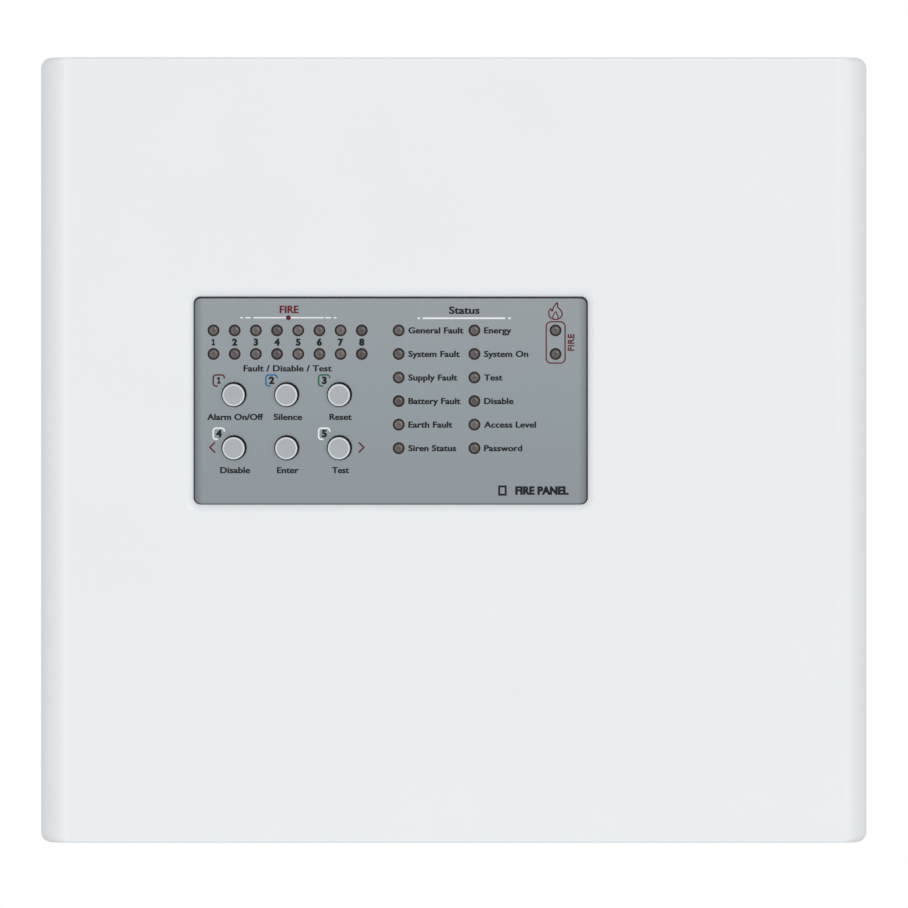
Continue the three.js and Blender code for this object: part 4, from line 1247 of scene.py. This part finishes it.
def make_main_board():
    face = span("main_board")[0].y
    small, large = can(3.2, 8, BLACK), can(5, 12.5, RELAY_BLUE)
    plan = [
        (resistor(), 0, row(-124, 76.5, 5.08, 16)),
        (optocoupler(), 0, row(-121.5, 62, 10.16, 8)),
        (resistor(), 0, row(-33, 50, 3.8, 12)),
        (small, 0, row(-116, 47, 9, 3) + row(-62, 46, 9, 2)),
        (large, 0, [(28, 66), (40, 66), (40, 52), (4, 8), (-8, 8)]),
        (chip(5, 2, 1.6, 8, 0), 0, [(-108, 33), (-108, 23), (-56, 30), (-56, 20), (-30, 32), (-12, 32)]),
        (crystal(), 0, [(-78, 31)]),
        (pin_header(6), 0, [(-78, 12)]),
        (pin_header(3), 90, [(30, 30), (38, 30)]),
        (resistor(), 90, [(-104, 4), (-104, 0), (-88, 4), (-88, 0), (-40, 10), (-40, 6), (-40, 2)]),
        (resistor(9, 1.9), 90, [(8, 24), (8, 30), (8, 36)]),
    ]
    populate("main_board_parts", "base", face, plan)
    words = [("ZONES", -86, 81.4, 2.2), ("SIRENS", -7.5, 81.4, 2.2), ("BATTERY", 26, 5.0, 1.9),
             ("FIRE", -20, 57.2, 1.8), ("FAULT", 6, 57.2, 1.8), ("DISPLAY", -129, 37, 1.7)]
    boxes = [((-31, 59.2), (-9, 76)), ((-5, 59.2), (17, 76)), ((-87, 38), (-69, 56)), ((-135, 6), (-124, 34))]
    silkscreen("main_board_legends", face, words, boxes)


def make_microcontroller():
    low, high = span("microcontroller")
    centre, half = (low + high) / 2, (high.x - low.x) / 2 - 1.05
    made = Solid()
    chip(half, half, high.y - low.y, 14, 14, 0.8).copy_to(made, (centre.x, high.y + 0.15, centre.z))
    made.done("microcontroller_chip", "base", "black_plastic", "microcontroller")


def make_relay(node):
    low, high = span(node)
    made = Solid().block(low, (high.x, high.y - 0.8, high.z), RELAY_BLUE, 0.7, 3)
    foot_low, foot_high = (low.x + 0.3, high.y - 0.9, low.z + 0.3), (high.x - 0.3, high.y, high.z - 0.3)
    made.block(foot_low, foot_high, BLACK, 0.1)
    made.stroke(inset_box(low, high, 1.6, 1, 3), 0.4, RELAY_BLUE, low.y, closed=True, rise=0.15)
    made.done(f"{node}_case", "base", "black_plastic", node)


def make_display_back():
    """The rear of the display board: solder joints, drivers and resistors."""
    face = span("display_board")[1].y
    lamps = [spot for node in LAMP_GROUPS for spot in lamp_places(node)]
    joints = [(x + side * LEG_PITCH, z) for x, z in lamps for side in (-1, 1)]
    for key in KEYS:
        spot = middle(f"{key}_button")
        joints += [(spot.x + u * 3.2, spot.z + v * 2.2) for u in (-1, 1) for v in (-1, 1)]
    plan = [
        (solder_joint(), 0, joints),
        (chip(5, 2, 1.6, 8, 0), 0, [(-72, 27.5), (-55, 27.5), (-32, 12), (-32, 28), (-7, 8), (-7, -8)]),
        (resistor(5, 0.9), 0, row(-66, -12, 3.2, 9) + row(16, 48, 3.2, 5)),
        (can(2.5, 6, BLACK), 0, [(36, -6), (44, -6), (44, 8)]),
    ]
    populate("display_board_parts", "cover", face, plan, rear=True)


def make_buzzer():
    """A round case with a groove round its rear face and a sound hole in the middle."""
    low, high = span("buzzer")
    centre = (low + high) / 2
    shape = [(6, 0.7), (5.8, 0.2), (5.3, 0), (4.9, 0), (4.7, 0.3), (4.4, 0)]
    shape += [(1.1, 0), (0.9, 0.2), (0.9, 2), (0, 2)]
    profile = [(0, low.y), (5.9, low.y), (6, low.y + 0.2)]
    profile += [(radius, high.y - deep) for radius, deep in shape]
    made = Solid().lathe(profile, (centre.x, 0, centre.z), BLACK)
    made.done("buzzer_case", "cover", "black_plastic", "buzzer")


make_main_board()
make_microcontroller()
make_relay("fire_relay")
make_relay("fault_relay")
make_display_back()
make_buzzer()

# ---------------------------------------------------------------- screw terminals


def terminal_way(wide, look):
    """One way of a terminal block, with its wire entry at z = 0 and its screw looking towards -Y."""
    shape = [(0, 0), (8.3, 0), (12.2, 3), (12.2, 9), (8.3, 12), (0, 12)]
    made = Solid().prism([(-rise, -back) for rise, back in shape], "x", 0.03, wide - 0.03, look, 0.22)
    at = (wide / 2, 0, -6)
    made.cut(Solid().rod(1.85, -13, -9.6, at, look, count=24))
    made.cut(Solid().block((0.85, -6.6, -3.2), (wide - 0.85, -1.9, 1), look, 0.3))
    made.block((1.0, -6.3, -3.3), (wide - 1.0, -2.2, -2.3), STEEL, 0.3)
    profile = [(0, -11.2), (1.4, -11.2), (1.62, -11.0), (1.62, -9.7), (0, -9.7)]
    head = Solid().lathe(profile, at, STEEL, count=24)
    head.cut(Solid().block((at[0] - 1.8, -12, -6.22), (at[0] + 1.8, -10.5, -5.78), BLACK, 0))
    return made.join(head)


def make_terminals(node, ways, look, slot, from_below=False):
    low, high = span(node)
    wide = (high.x - low.x) / ways
    way = terminal_way(wide, look)
    made = Solid()
    for i in range(ways):
        if from_below:
            way.copy_to(made, (low.x + wide * (i + 1), high.y, low.z), 180)
        else:
            way.copy_to(made, (low.x + wide * i, high.y, high.z))
    made.done(f"{node}_ways", "base", slot, node)


make_terminals("zone_terminals", 16, GREEN, "terminal_green")
make_terminals("siren_terminals", 12, GREEN, "terminal_green")
make_terminals("battery_terminals", 4, GREEN, "terminal_green", from_below=True)
make_terminals("power_supply_terminals", 8, BLACK, "black_plastic")

# ---------------------------------------------------------------- ribbon cable and its plugs

RIBBON_ROUTE = [
    (-97.4, -67.5), (-115, -67.5), (-131, -66.2), (-140, -60), (-143.5, -50),
    (-144, -38), (-143.5, -28), (-141, -20.5), (-137, -17.3), (-134.4, -16.9),
]
STRANDS = 20


def make_ribbon():
    low, high = span("ribbon_cable")
    line = smooth_path([(x, y, 0) for x, y in RIBBON_ROUTE], 7)
    edge = []
    for k in range(2 * STRANDS + 1):
        edge.append((0.46 if k % 2 else 0.26, Vector((0, 0, low.z + (high.z - low.z) * k / (2 * STRANDS)))))
    rings = []
    for i, point in enumerate(line):
        along = (line[min(i + 1, len(line) - 1)] - line[max(i - 1, 0)]).normalized()
        across = Vector((-along.y, along.x, 0))
        ring = [point + across * half + rise for half, rise in edge]
        rings.append(ring + [point - across * half + rise for half, rise in reversed(edge)])
    made = Solid().loft(rings, ribbon_insulation())
    cable = made.done("ribbon_strands", None, "ribbon_grey", "ribbon_cable", angle=70)
    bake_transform(cable)


def make_socket(node, body, outwards):
    """A boxed header with the cable's plug pressed into it; outwards is the way it stands off its board."""
    low, high = span(node)
    foot = low.y if outwards > 0 else high.y
    tall = high.y - low.y
    made = Solid()
    for start, end, inset in ((0, 3.0, 0.0), (3.0, 5.6, 0.5), (5.8, 8.0, 0.9)):
        near, far = sorted((foot + outwards * start, foot + outwards * min(end, tall)))
        corner = Vector((low.x + inset, near, low.z + 2 * inset))
        made.block(corner, (high.x - inset, far, high.z - 2 * inset), BLACK, 0.35)
    near, far = sorted((foot + outwards * 2, foot + outwards * 7.6))
    for start, end in ((low.z, low.z + 1.6), (high.z - 1.6, high.z)):
        made.block((low.x + 2, near, start), (high.x - 2, far, end), CAP_GREY, 0.4)
    made.done(f"{node}_and_plug", body, "black_plastic", node)


make_ribbon()
make_socket("display_socket", "cover", 1)
make_socket("main_socket", "base", -1)

# ---------------------------------------------------------------- power supply and fuse

LAMINATIONS = 12


def make_transformer():
    low, high = span("power_supply_transformer")
    centre = (low + high) / 2
    made = Solid()
    step = (high.y - low.y - 3) / LAMINATIONS
    for end in (low.z, high.z - 6):
        for i in range(LAMINATIONS):
            y = low.y + 1.5 + step * i
            made.block((low.x, y + 0.06, end), (high.x, y + step - 0.06, end + 6), STEEL, 0.1)
    outline = rounded((low.x + 2.5, low.y), (high.x - 2.5, high.y), 4, 5)
    made.prism(outline, "z", low.z + 6.2, high.z - 6.2, taped(), 0.8)
    for z in (low.z + 6, high.z - 7):
        made.block((low.x + 0.5, low.y + 0.4, z), (high.x - 0.5, high.y, z + 1), BLACK, 0.2)
    made.block((centre.x - 4, low.y + 2, low.z + 6), (centre.x + 4, high.y - 2, high.z - 6), BLACK, 0.2)
    made.done("power_supply_transformer_winding", "base", "transformer_tape", "power_supply_transformer")


def heads(low, high, inset_x, foot, head, shape, slot=False):
    """Four round heads near the corners of a front face; slot cuts each for a screwdriver."""
    made = Solid()
    for x in (low.x + inset_x, high.x - inset_x):
        for z in (low.z + foot, high.z - head):
            one = Solid().lathe([(radius, low.y + y) for radius, y in shape], (x, 0, z), STEEL, count=24)
            if slot:
                start, end = (x - 2.4, low.y - 1.5, z - 0.25), (x + 2.4, low.y - 0.3, z + 0.25)
                one.cut(Solid().block(start, end, BLACK, 0))
            one.copy_to(made)
    return made


def make_fixings():
    """Rivets on the cage, screws of the fuse block, ribs on the carrier's grip."""
    dome = [(0, -0.9), (1.2, -0.8), (2.0, -0.35), (2.2, 0.05), (0, 0.1)]
    rivets = heads(*span("power_supply_cage"), 6, 6, 4, dome)
    rivets.done("power_supply_cage_rivets", "base", "cage_steel")
    dome = [(0, -0.7), (1.7, -0.6), (2.1, -0.2), (2.1, 0.1), (0, 0.1)]
    screws = heads(*span("mains_fuse_block"), 4.5, 4, 4, dome, slot=True)
    screws.done("mains_fuse_block_screws", "base", "black_plastic")
    low, high = span("fuse_carrier")
    grip = Solid()
    x = (low.x + high.x) / 2
    for i in range(4):
        z = high.z - 0.7 - 0.85 * i
        grip.block((x - 2.6, low.y - 0.3, z - 0.2), (x + 2.6, low.y + 0.2, z + 0.2), BLACK, 0.12)
    grip.lettering("FUSE", x, low.z + 6.5, 1.9, INK_WHITE, front_y=low.y + 3, bold=0.01)
    grip.done("fuse_carrier_grip", "fuse_carrier", "black_plastic")


make_transformer()
make_fixings()

# ---------------------------------------------------------------- batteries and wires

TAB_HEIGHT = 6.3
TAB_HALF_WIDTH = 3.15
TAB_X = 9  # from the middle of the panel to each battery's tabs
TAB_INSET = 11  # from a battery's front and back to its tabs
WIRE_RADIUS = 1.3
LEAD_Y = -17


def make_battery(place, side):
    node = f"battery_{place}"
    low, high = span(node)
    centre = (low + high) / 2
    top = high.z - TAB_HEIGHT
    seam = top - 6
    made = Solid()
    layers = [
        (0, 0, 3, 6, low.z, seam, BATTERY_GREY, 0.9),
        (1, 1, 2.5, 6, seam - 1, seam + 0.7, BLACK, 0),
        (0.6, 0.6, 3, 6, seam + 0.5, top - 1, BATTERY_LID, 0.7),
        (16, 17, 2, 4, top - 1.5, top, BATTERY_LID, 0.4),
    ]
    for in_x, in_y, radius, steps, start, end, look, bevel in layers:
        outline = rounded((low.x + in_x, low.y + in_y), (high.x - in_x, high.y - in_y), radius, steps)
        made.prism(outline, "z", start, end, look, bevel)
    vent = [(0, 0.55), (3.6, 0.55), (4.2, 0.3), (4.2, 0), (0, 0)]
    for x, y in row(low.x + 25, centre.y, (high.x - low.x - 50) / 5, 6):
        made.lathe(vent, (x, y, top - 0.1), BATTERY_GREY, "z", 28)
    tab_x = side * TAB_X
    inks = (INK_RED, INK_BLACK) if side < 0 else (INK_BLACK, INK_RED)
    for y, ink in zip((low.y + TAB_INSET, high.y - TAB_INSET), inks):
        crown = arc(tab_x, high.z - 1.2, TAB_HALF_WIDTH, 20, 160, 6)
        outline = [(x, min(z, high.z)) for x, z in crown]
        outline += [(tab_x - TAB_HALF_WIDTH, top - 0.5), (tab_x + TAB_HALF_WIDTH, top - 0.5)]
        made.sheet(outline, [circle(tab_x, high.z - 3, 0.85, 16)], y - 0.4, y + 0.4, BRASS, 0.08)
        made.block((tab_x - 5, y - 2.5, top - 1.2), (tab_x + 5, y + 2.5, top + 0.7), ink, 0.5)
    z = (low.z + seam) / 2
    label = rounded((centre.x - 42, z - 20), (centre.x + 42, z + 20), 2, 5)
    made.sheet(label, [], low.y - 0.08, low.y + 0.04, LABEL_GREY, 0.02)
    for words, up, height in (("12 V  7 Ah", 6, 9), ("SEALED LEAD ACID BATTERY", -9, 3.6)):
        made.lettering(words, centre.x, z + up, height, INK_BLACK, front_y=low.y - 0.1, bold=0.01)
    made.done(f"{node}_case", "base", "battery_case", node)


def spade(made, x, y, z, look):
    """An insulated push-on connector over a battery's tab."""
    sizes = [(3.9, 1.9, -5.6), (4.1, 2.1, -4.8), (4.1, 2.1, -0.5), (2.6, 1.9, 1.2), (1.75, 1.75, 3.2)]
    rings = []
    for wide, deep, up in sizes:
        outline = rounded((x - wide, y - deep), (x + wide, y + deep), min(1.2, deep * 0.9), 4)
        rings.append([(u, v, z + up) for u, v in outline])
    made.loft(rings, look)


def make_battery_wires():
    """The link between the batteries and their two leads; a route's last number is above the tabs."""
    low, high = span("battery_left")
    tab_z = high.z + 0.3
    front_y, back_y = low.y + TAB_INSET, high.y - TAB_INSET
    board = span("main_board")[0].z + 0.6 - tab_z
    link_half = [(TAB_X, front_y, 0), (TAB_X, front_y, 7), (5, front_y, 12)]
    link_route = [(-x, y, up) for x, y, up in link_half] + link_half[::-1]
    black_route = [(-TAB_X, back_y, 0), (-TAB_X, back_y, 8), (-3, back_y - 2, 16), (11, LEAD_Y, 21),
                   (17.6, LEAD_Y, 26), (17.6, LEAD_Y, board)]
    red_route = [(TAB_X, back_y, 0), (TAB_X, back_y, 6), (13, back_y - 2, 12), (25, LEAD_Y, 17),
                 (27.8, LEAD_Y, 25), (27.8, LEAD_Y, board)]
    wires = [
        ("battery_link", WIRE_RED, "wire_red", link_route, (0, -1)),
        ("battery_lead_black", WIRE_BLACK, "wire_black", black_route, (0,)),
        ("battery_lead_red", WIRE_RED, "wire_red", red_route, (0,)),
    ]
    for name, look, slot, route, spades in wires:
        route = [(x, y, tab_z + up) for x, y, up in route]
        made = Solid().tube(smooth_path(route), WIRE_RADIUS, look)
        for end in spades:
            spade(made, *route[end], look)
        made.done(f"{name}_wire", "base", slot, name, angle=50)


def pair_of_wires(node, route, looks, start, end):
    """Two wires side by side that part at their ends; start and end are each wire's X offsets there."""
    made = Solid()
    for look, first, last, side in zip(looks, start, end, (-1, 1)):
        offsets = [(0, side * 1.1)] * len(route)
        offsets[0], offsets[-1] = (first, 0), (last, 0)
        offsets[1], offsets[-2] = (first * 0.55, side * 0.8), (last * 0.55, side * 0.8)
        path = [(x + u, y + v, z) for (x, y, z), (u, v) in zip(route, offsets)]
        made.tube(smooth_path(path), 1.05, look)
    made.done(f"{node}_wires", "base", "wire_black", node, angle=50)


def make_supply_leads():
    supply_top = span("power_supply_terminals")[1].z + 0.6
    board_top = span("siren_terminals")[1].z + 0.6
    dc = [(85, -15.5, supply_top + 0.2), (84, -16, supply_top + 7), (76, -18, 107), (50, -19, 108.5),
          (26, -19, 107.5), (15, -17.6, 105), (13, -17, 101), (13, -17, board_top)]
    fuse_foot = span("mains_fuse_block")[0].z - 0.9
    mains = [(101, -9, fuse_foot), (101, -10, 107.5), (102, -14, 103.5), (102, -15, supply_top + 0.2)]
    pair_of_wires("dc_lead", dc, (WIRE_RED, WIRE_BLACK), (-2.5, 2.5), (2.4, -2.7))
    pair_of_wires("mains_lead", mains, (WIRE_BROWN, RELAY_BLUE), (-3.5, 3.5), (-4.2, 0.9))


make_battery("left", -1)
make_battery("right", 1)
make_battery_wires()
make_supply_leads()

# ---------------------------------------------------------------- light and floor


def area_light(name, place, target, wide, tall, power):
    data = bpy.data.lights.new(name, "AREA")
    data.energy = power
    data.shape = "RECTANGLE"
    data.size = wide
    data.size_y = tall
    lamp = link(name, data)
    lamp.location = place
    lamp.rotation_euler = (Vector(target) - Vector(place)).to_track_quat("-Z", "Y").to_euler()


def add_world():
    """Even pale light all round; what the camera sees behind the panel is white."""
    world = bpy.data.worlds.new("studio")
    world.use_nodes = True
    nodes, links = world.node_tree.nodes, world.node_tree.links
    around = nodes["Background"]
    around.inputs["Color"].default_value = (0.97, 0.985, 1, 1)
    around.inputs["Strength"].default_value = 0.68
    backdrop = nodes.new("ShaderNodeBackground")
    backdrop.inputs["Color"].default_value = (1, 1, 1, 1)
    backdrop.inputs["Strength"].default_value = 1.0
    ray = nodes.new("ShaderNodeLightPath")
    mix = nodes.new("ShaderNodeMixShader")
    links.new(ray.outputs["Is Camera Ray"], mix.inputs[0])
    links.new(around.outputs[0], mix.inputs[1])
    links.new(backdrop.outputs[0], mix.inputs[2])
    links.new(mix.outputs[0], nodes["World Output"].inputs["Surface"])
    bpy.context.scene.world = world
    bpy.context.scene.view_settings.view_transform = "Standard"


def add_floor():
    floor = Solid().block((-1600, -1500, -660), (1600, 1700, -650), pale_floor(), 2)
    made = floor.made_object("floor")


add_world()
add_floor()
area_light("key", (0.8, -2.8, 0.85), (0, -0.08, 0), 0.8, 0.8, 13.4)
area_light("left_strip", (-0.8, -1.4, 0.05), (-0.1, -0.08, 0), 0.12, 1.2, 3.2)
area_light("right_strip", (1.25, -1.1, 0.0), (0.1, -0.08, 0), 0.18, 1.2, 2.2)
area_light("low_strip", (0, -0.45, -0.6), (0, -0.42, 0), 0.9, 0.12, 0.45)
